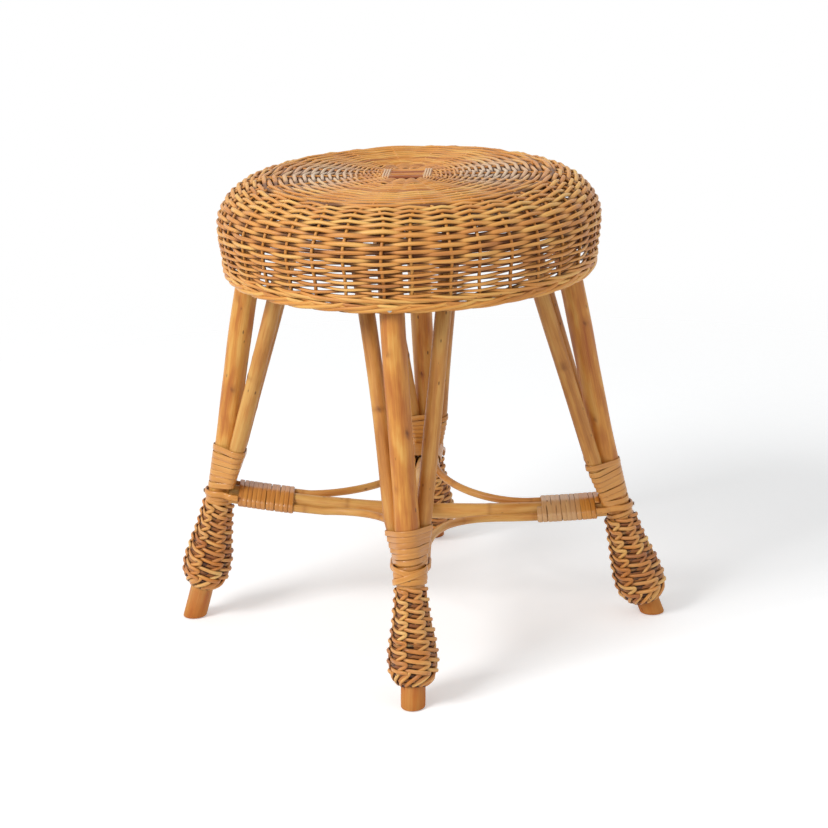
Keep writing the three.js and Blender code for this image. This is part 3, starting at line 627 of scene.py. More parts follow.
@dataclass
class LegLine:
    """The middle line of one leg's pole, and the sections set on it."""

    name: LegName
    pole_diameter: float = 22.8
    stay_diameter: float = 15.4
    stay_tip_diameter: float = 7.0
    stay_top_radius: float = 100.0
    stay_spread: float = 0.87
    low_rail_top: float = 415.1
    arm_level: float = 118.0
    binding_gap: float = 13.0
    binding_height: float = 33.6
    fit: float = 0.3
    slope_reach: float = 5.7
    levels: tuple[float, ...] = (0, 190, 356, POLE_TOP)
    reaches: tuple[float, ...] = (230, 186.4, 155.8, 133.9)

    def __post_init__(self) -> None:
        """Works out the leg's directions and its own reaches."""
        stray = STRAYS[self.name]
        turn = self.name.value
        self.stray = stray
        self.label = self.name.label
        self.out = np.array([math.cos(turn), math.sin(turn), 0.0])
        self.side = np.array([-math.sin(turn), math.cos(turn), 0.0])
        self.sides = [share * self.pole_diameter for share in stray.side_shares]
        self.outs = [math.sqrt(reach ** 2 - side ** 2) + share * self.pole_diameter
                     for reach, side, share in zip(self.reaches, self.sides, stray.out_shares)]
        self.arm = self.arm_level * stray.arm_share
        self.binding_bottom = self.arm + self.binding_gap
        self.tie = self.binding_bottom + self.binding_height
        self.stay_top = POLE_TOP if self.name.sideways else self.low_rail_top

    def out_at(self, level: Any) -> Array:
        """The line's reach outwards at a height."""
        return through(self.levels, self.outs, level)

    def side_at(self, level: Any) -> Array:
        """The line's stray sideways at a height."""
        return through(self.levels, self.sides, level)

    def place(self, outward: Any, sideways: Any, level: Any) -> Array:
        """Points at distances outwards, sideways and up."""
        outward, sideways, level = np.broadcast_arrays(*np.atleast_1d(outward, sideways, level))
        return outward[:, None] * self.out + sideways[:, None] * self.side + level[:, None] * UP

    def point(self, level: Any) -> Array:
        """Points of the line at heights."""
        return self.place(self.out_at(level), self.side_at(level), level)

    def frame(self, level: Any) -> tuple[Array, Array, Array, Array]:
        """Sections of the leg.

        Args:
            level: Heights of the sections' middles.

        Returns:
            The middles and the out, side and up directions.
        """
        level = np.atleast_1d(np.asarray(level, float))
        up = unit(self.point(level + self.slope_reach) - self.point(level - self.slope_reach))
        out = unit(self.out - (up @ self.out)[:, None] * up)
        return self.point(level), out, np.cross(up, out), up

    def section(self, level: float) -> Section:
        """One section's middle, out and side directions."""
        middle, out, side, _ = self.frame(level)
        return middle[0], out[0], side[0]

    def stay_radius(self, level: Any) -> Array:
        """A stay's radius, which tapers inside the binding."""
        share = np.clip((np.asarray(level, float) - self.binding_bottom) / self.binding_height, 0, 1)
        return self.stay_tip_diameter / 2 + (self.stay_diameter - self.stay_tip_diameter) / 2 * share

    def stay_point(self, hand: int, level: Any) -> Array:
        """Points of a stay's middle line.

        Args:
            hand: -1 or 1, for the stay's side.
            level: Heights of the points.

        Returns:
            The points.
        """
        level = np.atleast_1d(np.asarray(level, float))
        low = np.minimum(level, self.tie)
        apart = self.pole_diameter / 2 + self.stay_radius(low) + self.fit
        beside = self.place(self.out_at(low) - apart * math.cos(self.stay_spread),
                            self.side_at(low) + hand * apart * math.sin(self.stay_spread), low)
        share = np.clip((level - self.tie) / (self.stay_top - self.tie), 0, 1)[:, None]
        top = self.place(self.stay_top_radius, hand * RAIL_OFFSET, self.stay_top)
        bow = self.stray.bow_shares[1 if hand < 0 else 0] * self.stay_diameter * 4 * share * (1 - share)
        points = beside + (top - beside) * share + hand * bow * self.side
        points[:, 2] = level
        return points


@dataclass
class ArmLines:
    """The middle lines of the two cross rods, as each leg's arm sees them."""

    legs: dict[LegName, LegLine]
    low_middle: float = 109.5
    high_middle: float = 125.6
    rod_diameter: float = 15.5
    cane_diameter: float = 7.5
    cane_gap: float = 0.6
    front_lift: float = -3.5
    back_lift: float = 4.5

    def __post_init__(self) -> None:
        """Finds how far the corner canes lie beside the rods."""
        self.cane_offset = self.rod_diameter / 2 + self.cane_diameter / 2 + self.cane_gap

    def rod(self, start: LegName, shares: Any) -> Array:
        """Points of the rod that starts at a leg.

        Args:
            start: The leg where the rod starts.
            shares: Where on the rod, from 0 to 1.

        Returns:
            The points.
        """
        first, last = (self.legs[name].point(self.legs[name].arm) for name in (start, start.opposite))
        middle = self.low_middle if start.sideways else self.high_middle
        control = 2 * middle * UP - (first + last) / 2
        t = np.asarray(shares, float)[:, None]
        return first * (1 - t) ** 2 + 2 * control * t * (1 - t) + last * t ** 2

    def arm(self, name: LegName, radius: Any) -> Array:
        """Points of an arm at distances from the stool's axis.

        Args:
            name: The arm's leg.
            radius: The distances.

        Returns:
            The points.
        """
        shares = np.linspace(-0.25, 0.5, 400)
        reach = self.rod(name, shares) @ self.legs[name].out
        return self.rod(name, np.interp(-np.atleast_1d(np.asarray(radius, float)), -reach, shares))


@dataclass
class SeatProfile:
    """The seat's outline from the middle of its top to its rim, and its stakes."""

    radius: float = 184.7
    depth: float = 94.0
    height: float = 450.0
    shares: tuple[tuple[float, float], ...] = (
        (0.75, 0), (0.825, 0.043), (0.896, 0.106), (0.949, 0.202), (0.984, 0.319),
        (1, 0.447), (0.995, 0.585), (0.984, 0.745), (0.973, 0.89), (0.951, 1))
    stakes: int = 36
    stake_columns: tuple[float, ...] = (239.2, 259.3, 283.7, 310, 341.5, 381.2, 411.3, 452.5, 482, 514.5, 542.3)
    column_level: float = 400.0
    flat_radius: float = 138.5
    wall_run: float = 150.0
    softness: float = 3.5
    softened: int = 9

    def __post_init__(self) -> None:
        """Samples the outline, rounds its corners and finds the stakes' directions."""
        corners = [(0.0, self.height)]
        corners += [(reach * self.radius, self.height - drop * self.depth) for reach, drop in self.shares]
        lengths = run_along(np.array(corners))
        self.run = np.arange(0, lengths[-1], 1.0)
        line = read_rows(self.run, lengths, np.array(corners))
        more = self.softened
        window = np.exp(-0.5 * (np.arange(-more, more + 1) / self.softness) ** 2)
        window /= window.sum()
        padded = np.vstack([line[:1] - np.arange(more, 0, -1)[:, None] * [[1, 0]], line,
                            line[-1:] + np.arange(1, more + 1)[:, None] * (line[-1:] - line[-2:-1])])
        self.line = np.stack([np.convolve(padded[:, k], window, "valid") for k in (0, 1)], axis=1)
        slope = unit(np.gradient(self.line, axis=0))
        self.table = np.column_stack([self.line, -slope[:, 1], slope[:, 0]])
        self.azimuths = self.stake_directions()
        self.spokes = -np.pi + np.arange(self.stakes // 2) * 2 * TAU / self.stakes

    def stake_directions(self) -> Array:
        """Spaces the stakes evenly, and moves those in view to the columns where the picture shows them.

        Returns:
            The stakes' azimuths in radians, rising.
        """
        turns = np.linspace(-math.pi, 0, 361)
        ring = np.stack([self.radius * np.cos(turns), self.radius * np.sin(turns),
                         np.full_like(turns, self.column_level)], axis=1)
        columns = StudioCamera().pixels(ring)[:, 0]
        rising = slice(int(columns.argmin()), int(columns.argmax()) + 1)
        seen = np.interp(self.stake_columns, columns[rising], turns[rising])
        step = TAU / self.stakes
        azimuths = -np.pi + (np.arange(self.stakes) - 0.5) * step
        azimuths += np.random.default_rng(17).uniform(-0.016, 0.016, self.stakes)
        azimuths[np.round((seen + np.pi) / step + 0.5).astype(int)] = seen
        return azimuths

    def level_run(self, level: Any) -> Array:
        """The run along the outline at which the wall passes a height."""
        wall = self.run > self.wall_run
        return np.interp(-np.asarray(level, float), -self.line[wall, 1], self.run[wall])

    def surface(self, run: Any, azimuth: Any, lift: Any) -> tuple[Array, Array]:
        """Points on the outline's surface.

        Args:
            run: Distances along the outline from the top's middle.
            azimuth: Directions in radians.
            lift: Heights above the surface.

        Returns:
            The points and the outward directions.
        """
        run, azimuth, lift = np.broadcast_arrays(*np.atleast_1d(run, azimuth, lift))
        reach, level, out, up = read_rows(run, self.run, self.table).T
        cos, sin = np.cos(azimuth), np.sin(azimuth)
        outward = np.stack([out * cos, out * sin, up], axis=1)
        return np.stack([reach * cos, reach * sin, level], axis=1) + outward * lift[:, None], outward


@dataclass
class StudioCamera:
    """The camera, fitted to the picture's view of the stool."""

    place: tuple[float, float, float] = (157.7, -2304.9, 919.5)
    yaw: float = -0.0683
    pitch: float = 0.2983
    roll: float = 0.0336
    lens: float = 107.35
    sensor: float = 36.0
    pixels_wide: int = 828
    column_shift: float = 1.5
    far_clip: float = 50.0

    def axes(self) -> Array:
        """Works out the camera's directions.

        Returns:
            Its right, up and forward directions, one a row.
        """
        (c, s), (cp, sp), (cr, sr) = ((math.cos(a), math.sin(a)) for a in (self.yaw, self.pitch, self.roll))
        right, up = np.array([c, -s, 0.0]), np.array([s * sp, c * sp, cp])
        return np.array([cr * right - sr * up, sr * right + cr * up, [s * cp, c * cp, -sp]])

    def pixels(self, points: Array) -> Array:
        """Finds where points land in the picture.

        Args:
            points: The points, one a row.

        Returns:
            Their columns and rows, in pixels from the picture's top left corner.
        """
        seen = (points - np.array(self.place)) @ self.axes().T
        scale = self.lens / self.sensor * self.pixels_wide / seen[:, 2]
        middle = self.pixels_wide / 2
        return np.stack([middle + self.column_shift + seen[:, 0] * scale, middle - seen[:, 1] * scale], axis=1)

    def build(self) -> None:
        """Makes the scene's camera."""
        right, up, forward = self.axes()
        data = bpy.data.cameras.new("studio_camera")
        data.lens = self.lens
        data.sensor_width = self.sensor
        data.shift_x = -self.column_shift / self.pixels_wide
        data.clip_end = self.far_clip
        camera = bpy.data.objects.new("studio_camera", data)
        camera.matrix_world = Matrix([
            [right[k], up[k], -forward[k], self.place[k] * MM] for k in range(3)] + [[0, 0, 0, 1]])
        bpy.context.scene.collection.objects.link(camera)
        bpy.context.scene.camera = camera


# Finishes.

POLE = CaneFinish("pole_varnish", tint(172, 86, 26), tint(220, 148, 64), tint(250, 206, 114), tint(80, 34, 10),
                  tint(204, 166, 120), fineness=0.36, patchiness=0.36, relief=0.00025, fleck_spacing=8.0,
                  fleck_size=0.15, fleck_amount=0.35)
STAY = CaneFinish("stay_varnish", tint(158, 88, 30), tint(208, 142, 66), tint(234, 186, 104), tint(86, 44, 14),
                  tint(204, 172, 126), fineness=0.6, stretch=26, patchiness=0.3, relief=0.00018,
                  fleck_spacing=6.5, fleck_size=0.15, fleck_amount=0.5)
WEAVE = CaneFinish("weave_varnish", tint(158, 80, 22), tint(230, 154, 66), tint(252, 202, 110), tint(76, 30, 5),
                   tint(228, 206, 180), coat=0.16, coat_roughness=0.25, fineness=1.6, stretch=30,
                   patchiness=0.22, crevice=0.86, fleck_spacing=7.0, fleck_amount=0.15, dust=0.05)
BULB = CaneFinish("bulb_varnish", tint(146, 70, 18), tint(216, 138, 58), tint(250, 200, 116), tint(50, 15, 2),
                  tint(196, 168, 140), roughness=0.4, coat=0.22, fineness=1.8, patchiness=0.34, crevice=1.0,
                  fleck_spacing=6.0, dust=0.04)
BINDING = CaneFinish("binding_varnish", tint(176, 100, 32), tint(218, 146, 60), tint(242, 188, 98),
                     tint(92, 42, 8), tint(216, 194, 158), roughness=0.3, coat=0.4, coat_roughness=0.12,
                     fineness=1.5, stretch=40, relief=0.0001, crevice=0.9, fleck_size=0.1, fleck_amount=0.12,
                     dust=0.02)
INNER = CaneFinish("inner_cane_bare", tint(140, 96, 54), tint(186, 142, 90), tint(208, 168, 116), tint(84, 52, 26),
                   tint(186, 168, 144), roughness=0.6, coat=0.05, coat_roughness=0.4, fineness=0.7,
                   relief=0.0002, crevice=0.5, fleck_size=0.16, fleck_amount=0.3, dust=0.2)
STEEL = SteelFinish("nail_steel_dull", tint(190, 186, 178), tint(120, 74, 44))
STAINED = SteelFinish("nail_steel_stained", tint(128, 96, 64), tint(110, 62, 32))


@dataclass
class Workshop:
    """What every sub-assembly needs: the shared lines and the finishes."""

    kit: ShaderKit = field(default_factory=ShaderKit)

    def __post_init__(self) -> None:
        """Makes the shared lines and materials."""
        self.legs = {name: LegLine(name) for name in LegName}
        self.arms = ArmLines(self.legs)
        self.seat = SeatProfile()
        self.finishes = {finish.name: finish.material(self.kit)
                         for finish in (POLE, STAY, WEAVE, BULB, BINDING, INNER)}
        self.steel = STEEL.material()
        self.stained = STAINED.material()

    def set_up(self, cane: CaneMesh, finish: CaneFinish, slot: str, *nodes: str) -> None:
        """Builds a piece, hangs it under the root body and hides the CAD nodes that it stands for.

        Args:
            cane: The piece's mesh.
            finish: Its finish.
            slot: The record's material slot; not used.
            nodes: The CAD nodes that it stands for.
        """
        piece = cane.build(self.finishes[finish.name])
        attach(piece, "root")
        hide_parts(*nodes)
        LOG.info("%s: %d faces", piece.name, len(piece.data.polygons))


# Poles and stays.


@dataclass(frozen=True)
class Knot:
    """A knot on a pole: its height, its turn from the leg's outward direction in degrees, its size and its eye."""

    level: float
    turn: float
    size: float
    eye: float = 1.0


KNOTS = {
    LegName.FRONT: (Knot(246, 38, 6.0), Knot(318, -22, 3.4, 0.5), Knot(196, -35, 3.0, 0.6), Knot(22, 30, 3.0, 0.4),
                    Knot(282, 160, 5.0)),
    LegName.RIGHT: (Knot(300, -60, 4.5), Knot(205, -105, 3.5, 0.6), Knot(255, 80, 5.0)),
    LegName.BACK: (Knot(268, 10, 5.5), Knot(200, 170, 4.0), Knot(330, 90, 4.0, 0.6)),
    LegName.LEFT: (Knot(330, 60, 4.0, 0.7), Knot(240, 95, 4.5), Knot(288, -80, 5.0)),
}


@dataclass
class Pole:
    """One leaning pole, from the floor to the hoop under the seat's top.

    The foot's rounding gives the first sections' heights and how much narrower they are.
    """

    leg: LegLine
    workshop: Workshop
    sides: int = 28
    steps: int = 120
    first_step: float = 6.0
    waviness: float = 0.18
    rounding: tuple[tuple[float, float], ...] = ((0.0, 1.1), (0.35, 0.45), (0.9, 0.1))
    bulb_gap: float = 8.0
    bulb_height: float = 90.0

    def build(self) -> None:
        """Sweeps the pole with its knots, slight bends and rounded foot."""
        leg, rng = self.leg, np.random.default_rng(11 + len(self.leg.label))
        foot, cut = np.array(self.rounding).T
        level = np.concatenate([foot, np.linspace(self.first_step, POLE_TOP - 2, self.steps), [POLE_TOP]])
        radius = np.full_like(level, leg.pole_diameter / 2)
        radius += self.waviness * np.sin(level / 31 + rng.uniform(0, 6)) + 0.1 * np.sin(level / 11)
        radius[:len(cut)] -= cut
        middle, out, _, up = leg.frame(level)
        swell, marks = self.relief(level, leg.pole_diameter / 2)
        mesh = CaneMesh(f"pole_{leg.label}_cane")
        mesh.sweep(middle + (level - middle[:, 2])[:, None] * UP, out, 2 * radius, 2 * radius, sides=self.sides,
                   tone=rng.uniform(0.36, 0.5), seed=rng.uniform(0, 50), swell=swell, marks=marks, shading=0.0)
        self.level_ends(mesh, up, foot)
        self.workshop.set_up(mesh, POLE, "pole", f"pole_{leg.label}")

    def level_ends(self, mesh: CaneMesh, up: Array, foot: Array) -> None:
        """Slides the end sections' corners along the pole until they are level.

        Args:
            mesh: The pole's mesh.
            up: The pole's direction at each section.
            foot: The heights of the foot's sections.
        """
        points = mesh.points[0].reshape(len(up), self.sides, 3)
        for ring, wanted in (*enumerate(foot), (-1, POLE_TOP)):
            points[ring] += ((wanted - points[ring, :, 2]) / up[ring, 2])[:, None] * up[ring]
        mesh.points[0] = points.reshape(-1, 3)

    def relief(self, level: Array, radius: float) -> tuple[Array, Array]:
        """Works out the knots' swelling and marks, the painted shade on the pole inside the bulb and the worn foot.

        Args:
            level: The sections' heights.
            radius: The pole's radius.

        Returns:
            The swelling and the marks of each corner.
        """
        turn = np.pi / 2 - TAU * np.arange(self.sides) / self.sides
        swell = np.zeros((len(level), self.sides))
        marks = np.zeros((len(level), self.sides, 4))
        for knot in KNOTS[self.leg.name]:
            apart = (turn[None, :] - math.radians(knot.turn) + np.pi) % TAU - np.pi
            away = np.hypot(apart * radius / 0.8, (level[:, None] - knot.level) / 1.5) / knot.size
            bump = np.exp(-away ** 2)
            eye = np.exp(-(away * 2.6) ** 2)
            swell += 0.13 * knot.size * bump - 0.16 * knot.size * knot.eye * eye
            marks[..., 0] += knot.eye * eye
            marks[..., 1] += 0.7 * bump
        top = self.leg.arm - self.bulb_gap
        bottom = top - self.bulb_height
        inside = smooth_step(top + 1, top - 5, level) * smooth_step(bottom, bottom + 4, level)
        # Painted shade on the pole where the foot bulb closes round it, laid into the knot channel.
        marks[..., 0] += 0.85 * inside[:, None]
        marks[..., 1] += 0.95 * smooth_step(38, 26, level)[:, None]
        marks[..., 2] += smooth_step(26, 4, level)[:, None]
        marks[..., 1] += 0.5 * smooth_step(3.0, 0.2, level)[:, None]
        return swell, np.clip(marks, 0, 1)


@dataclass
class Stay:
    """One stay beside a pole, from its tip in the binding to the rail it meets."""

    leg: LegLine
    hand: int
    workshop: Workshop
    sides: int = 20
    steps: int = 76
    joints: int = 2

    def build(self) -> None:
        """Sweeps the stay with a cane's joints and slight swelling."""
        leg = self.leg
        label = f"{leg.label}_{'a' if self.hand < 0 else 'b'}"
        rng = np.random.default_rng(40 + 3 * len(leg.label) + self.hand + int(10 * leg.arm))
        level = np.linspace(leg.binding_bottom, leg.stay_top, self.steps)
        radius = leg.stay_radius(level) + 0.14 * np.sin(level / 24 + rng.uniform(0, 6))
        marks = np.zeros((len(level), self.sides, 4))
        swell = np.zeros((len(level), self.sides))
        for joint in rng.uniform(leg.tie + 25, leg.stay_top - 40, self.joints):
            ring = np.exp(-((level - joint) / 2.2) ** 2)[:, None]
            turn = np.cos(TAU * np.arange(self.sides) / self.sides - rng.uniform(0, 6))[None, :]
            swell += 0.42 * ring * np.clip(turn, 0, 1)
            marks[..., 1] += 0.8 * ring * smooth_step(0.2, 0.9, turn)
            marks[..., 0] += 0.8 * ring * smooth_step(0.93, 1.0, turn)
        mesh = CaneMesh(f"stay_{label}_cane")
        mesh.sweep(leg.stay_point(self.hand, level), leg.out, 2 * radius, 2 * radius, sides=self.sides,
                   tone=rng.uniform(0.42, 0.62), seed=rng.uniform(0, 50), swell=swell, marks=np.clip(marks, 0, 1),
                   shading=0.0)
        mesh.points[0][-self.sides:, 2] = leg.stay_top
        self.workshop.set_up(mesh, STAY, "pole", f"stay_{label}")


# Bindings of flat cane.


def bundle_outline(circles: Array, offset: float, count: int) -> tuple[Array, Array]:
    """Walks round the tight outline of a bundle of round bars.

    Args:
        circles: Middle and radius of each bar, one a row.
        offset: Distance from the bars.
        count: Points wanted on the outline.

    Returns:
        The outline's points and its outward directions, evenly spaced and closed.
    """
    angle = np.linspace(0, TAU, 181)
    away = np.stack([np.cos(angle), np.sin(angle)], axis=1)
    pick = (circles[:, :2] @ away.T + circles[:, 2:]).argmax(axis=0)
    points = circles[pick, :2] + (circles[pick, 2:] + offset) * away
    lengths = run_along(points)
    wanted = np.linspace(0, lengths[-1], count + 1)
    return read_rows(wanted, lengths, points), unit(read_rows(wanted, lengths, away))


@dataclass
class Winding:
    """Flat cane wound round a bundle.

    The slants are how far a turn leans along the bundle, the last turn rides up by its lift, and the first turns
    dip. Begin is the share of a turn at which the cane sets off.
    """

    turns: int
    pitch: float
    start: float
    circles: Callable[[float], Array]
    frame: Callable[[float], Section]
    steps: int = 44
    thickness: float = 1.35
    clearance: float = 0.35
    spread: float = 1.0
    begin: float = 0.5
    slant: float = 0.0
    last_slant: float = 0.0
    last_lift: float = 0.0
    first_dip: float = 0.0
    fullness: float = 0.62
    corners: int = 96

    def sweep(self, mesh: CaneMesh, rng: np.random.Generator, tone: float, pale: Callable[[float], float]) -> None:
        """Sweeps the cane round the bundle.

        Args:
            mesh: The mesh that takes the cane.
            rng: The source of chance for each turn's sit.
            tone: The cane's tone.
            pale: Paleness at a distance along the bundle.
        """
        count = self.turns * self.steps
        path, outward, paleness = [], [], []
        sway = rng.uniform(-0.12, 0.12, self.turns + 2) * self.pitch
        phase = rng.uniform(0, TAU, self.turns + 2)
        for i in range(count + 1):
            turn = i / self.steps
            which, share = int(turn), (turn + self.begin) % 1
            angle = TAU * share
            last = float(smooth_step(self.turns - 1.15, self.turns - 0.75, turn))
            lean = self.slant * math.sin(angle) + sway[which] * math.sin(angle + phase[which])
            lean += last * self.last_slant * math.sin(angle + 0.9)
            lean -= self.first_dip * max(0.0, 1 - turn / 2) * math.cos(angle)
            along = self.start + self.pitch * (turn + 0.5) + lean
            offset = self.clearance + self.thickness / 2 + last * self.last_lift
            place, away = bundle_outline(self.circles(along), offset, self.corners)
            low, mix = int(share * self.corners), share * self.corners % 1
            spot, face = (rows[low] * (1 - mix) + rows[low + 1] * mix for rows in (place, away))
            middle, first, second = self.frame(along)
            path.append(middle + spot[0] * first + spot[1] * second)
            outward.append(face[0] * first + face[1] * second)
            paleness.append(pale(along))
        width = self.pitch * self.spread * (1 + 0.05 * np.sin(np.arange(count + 1) / 9))
        mesh.sweep(np.array(path), unit(np.array(outward)), width, self.thickness, sides=12, tone=tone,
                   pale=np.array(paleness), seed=rng.uniform(0, 50), fullness=self.fullness, shading=0.95)


@dataclass(frozen=True)
class BindingFit:
    """How one leg's binding sits: its turns, its ends above the arm, its first turn's dip and its last one's slant."""

    turns: int
    bottom: float
    top: float
    dip: float
    slant: float
    tone: float = 0.52


BINDING_FITS = {
    LegName.FRONT: BindingFit(7, 1.4, 37.8, 3.0, 0.0, tone=0.42),
    LegName.RIGHT: BindingFit(8, 2.6, 46.0, 3.6, -3.4),
    LegName.BACK: BindingFit(7, 4.0, 42.0, 3.8, -2.6),
    LegName.LEFT: BindingFit(7, 2.2, 42.6, 3.6, 2.2),
}


@dataclass
class LegBinding:
    """The flat cane that ties a pole and its two stays.

    Each crossing on the front leg gives its lift off the leg and its ends' heights from the arm.
    """

    leg: LegLine
    workshop: Workshop
    cross_width: float = 5.7
    cross_thickness: float = 1.5
    cross_radius: float = 15.0
    cross_reach: float = 2.05
    crossings: tuple[tuple[float, float, float], ...] = (
        (0.0, -5.6, -6.4), (0.0, -0.6, 3.6), (0.5, 6.4, -3.4), (1.0, -7.2, 4.8))

    def circles(self, level: float) -> Array:
        """Lays the bars out in the leg's section.

        Args:
            level: The section's height.

        Returns:
            The pole's and the stays' places and radii, one a row.
        """
        middle, out, side = self.leg.section(level)
        rows = [[0.0, 0.0, self.leg.pole_diameter / 2]]
        for hand in (-1, 1):
            away = self.leg.stay_point(hand, level)[0] - middle
            rows.append([away @ out, away @ side, float(self.leg.stay_radius(level))])
        return np.array(rows)

    def build(self) -> None:
        """Winds the binding, with a last turn that slants over the one below."""
        leg, fit = self.leg, BINDING_FITS[self.leg.name]
        rng = np.random.default_rng(70 + int(leg.arm))
        mesh = CaneMesh(f"leg_binding_{leg.label}_cane")
        Winding(fit.turns, (fit.top - fit.bottom) / fit.turns, leg.arm + fit.bottom, self.circles, leg.section,
                slant=0.25, last_slant=fit.slant, last_lift=0.35, first_dip=fit.dip, thickness=1.15,
                clearance=0.2, spread=1.04).sweep(mesh, rng, fit.tone, lambda _: 0.04)
        if leg.name is LegName.FRONT:
            self.cross(mesh, rng)
        self.workshop.set_up(mesh, BINDING, "binding", f"leg_binding_{leg.label}")

    def cross(self, mesh: CaneMesh, rng: np.random.Generator) -> None:
        """Crosses flat cane over the strap and down to the foot bulb.

        Args:
            mesh: The binding's mesh.
            rng: The source of chance.
        """
        angle = np.linspace(-self.cross_reach, self.cross_reach, 34)
        share = (angle - angle[0]) / (angle[-1] - angle[0])
        for lift, left, right in self.crossings:
            level = self.leg.arm + left + (right - left) * smooth_step(0.08, 0.92, share)
            radius = self.cross_radius + lift - 5.0 * np.abs(angle / self.cross_reach) ** 12
            middle, out, side, _ = self.leg.frame(level)
            away = np.cos(angle)[:, None] * out + np.sin(angle)[:, None] * side
            mesh.sweep(middle + away * radius[:, None], away, self.cross_width, self.cross_thickness, sides=12,
                       tone=rng.uniform(0.4, 0.55), seed=rng.uniform(0, 50), fullness=0.62, shading=0.95)


@dataclass(frozen=True)
class ArmFit:
    """Where one arm's binding starts and ends, which of its two canes run to the front, and how it looks."""

    inner: float
    outer: float
    to_front: tuple[bool, bool]
    tone: float = 0.5
    greyed: float = 0.0


ARM_FITS = {
    LegName.FRONT: ArmFit(119.0, 169.0, (True, True)),
    LegName.RIGHT: ArmFit(117.5, 174.5, (True, False), greyed=0.38),
    LegName.BACK: ArmFit(113.0, 167.0, (False, False)),
    LegName.LEFT: ArmFit(122.0, 176.0, (False, True), tone=0.34),
}


@dataclass
class ArmBinding:
    """The flat cane that ties a cross rod and the corner canes beside it."""

    leg: LegLine
    workshop: Workshop
    turns: int = 12
    overhang: float = 0.4

    def frame(self, radius: float) -> Section:
        """Finds the arm's section.

        Args:
            radius: The section's distance from the stool's axis.

        Returns:
            Its middle, its up direction and its direction aside.
        """
        points = self.workshop.arms.arm(self.leg.name, [radius - 3, radius, radius + 3])
        along = unit(points[2] - points[0])
        up = unit(UP - along[2] * along)
        return points[1], up, np.cross(along, up)

    def circles(self, _: float) -> Array:
        """Lays the rod and the two canes out in the arm's section.

        Args:
            _: The section's distance from the stool's axis, which changes nothing.

        Returns:
            Their places and radii, one a row.
        """
        arms = self.workshop.arms
        rows = [[0, 0, arms.rod_diameter / 2]]
        for hand, front in zip((1, -1), ARM_FITS[self.leg.name].to_front):
            rows.append([arms.front_lift if front else arms.back_lift, hand * arms.cane_offset,
                         arms.cane_diameter / 2])
        return np.array(rows)

    def build(self) -> None:
        """Winds the binding, greyer at the inner end of the right arm as the real one is."""
        leg, fit = self.leg, ARM_FITS[self.leg.name]
        rng = np.random.default_rng(90 + int(leg.arm))
        mesh = CaneMesh(f"arm_binding_{leg.label}_cane")

        def pale(radius: float) -> float:
            """Paleness along the arm."""
            return fit.greyed * float(smooth_step(163, 155, radius)) if fit.greyed else 0.04

        Winding(self.turns, (fit.outer - fit.inner) / self.turns, fit.inner - self.overhang, self.circles,
                self.frame, begin=0.25, slant=0.2, spread=1.02, steps=40, thickness=1.6,
                fullness=0.68).sweep(mesh, rng, fit.tone, pale)
        self.workshop.set_up(mesh, BINDING, "binding", f"arm_binding_{leg.label}")


@dataclass
class Strap:
    """The split cane looped round a pole at its arm, with the flat neck turns under it."""

    leg: LegLine
    workshop: Workshop
    height: float = 6.6
    thickness: float = 3.2
    points: int = 64
    neck_turns: int = 2
    neck_pitch: float = 4.0
    neck_drop: float = 7.4

    def build(self) -> None:
        """Sweeps the loop from one side of the arm round the pole and back."""
        leg, arms = self.leg, self.workshop.arms
        rng = np.random.default_rng(120 + int(leg.arm))
        reach = float(leg.out_at(leg.arm))
        radius = leg.pole_diameter / 2 + 1.0 + self.thickness / 2
        side = arms.cane_offset + arms.cane_diameter / 2 + self.thickness / 2
        turn = np.linspace(-np.pi / 2, np.pi / 2, 19)[:, None]
        tail = np.linspace(ARM_FITS[leg.name].outer + 1.0, reach - 6, 8)
        flare = side + (radius - side) * smooth_step(0.55, 1.0, (tail - tail[0]) / (tail[-1] - tail[0]))
        aside = flare[:, None] * leg.side
        arm = arms.arm(leg.name, tail)
        away = np.cos(turn) * leg.out + np.sin(turn) * leg.side
        loop = leg.place(reach, leg.side_at(leg.arm), leg.arm) + radius * away
        line = evenly(spline(np.vstack([arm - aside, loop, (arm + aside)[::-1]]), 4), self.points)
        outward = np.vstack([np.tile(-leg.side, (8, 1)), away, np.tile(leg.side, (8, 1))])
        faces = unit(read_rows(np.linspace(0, 1, self.points), np.linspace(0, 1, len(outward)), outward))
        mesh = CaneMesh(f"strap_{leg.label}_cane")
        mesh.sweep(line, faces, self.height, self.thickness, sides=12, tone=0.46, fullness=0.88,
                   seed=rng.uniform(0, 50), shading=0.8)
        start = leg.arm - self.neck_turns * self.neck_pitch - self.neck_drop
        Winding(self.neck_turns, self.neck_pitch, start, self.bar, leg.section, slant=0.5, spread=1.06,
                thickness=1.5).sweep(mesh, rng, 0.52, lambda _: 0.05)
        self.workshop.set_up(mesh, BINDING, "binding", f"strap_{leg.label}")

    def bar(self, _: float) -> Array:
        """The pole's place and radius, which the neck turns go round."""
        return np.array([[0, 0, self.leg.pole_diameter / 2]])


# Foot bulbs.


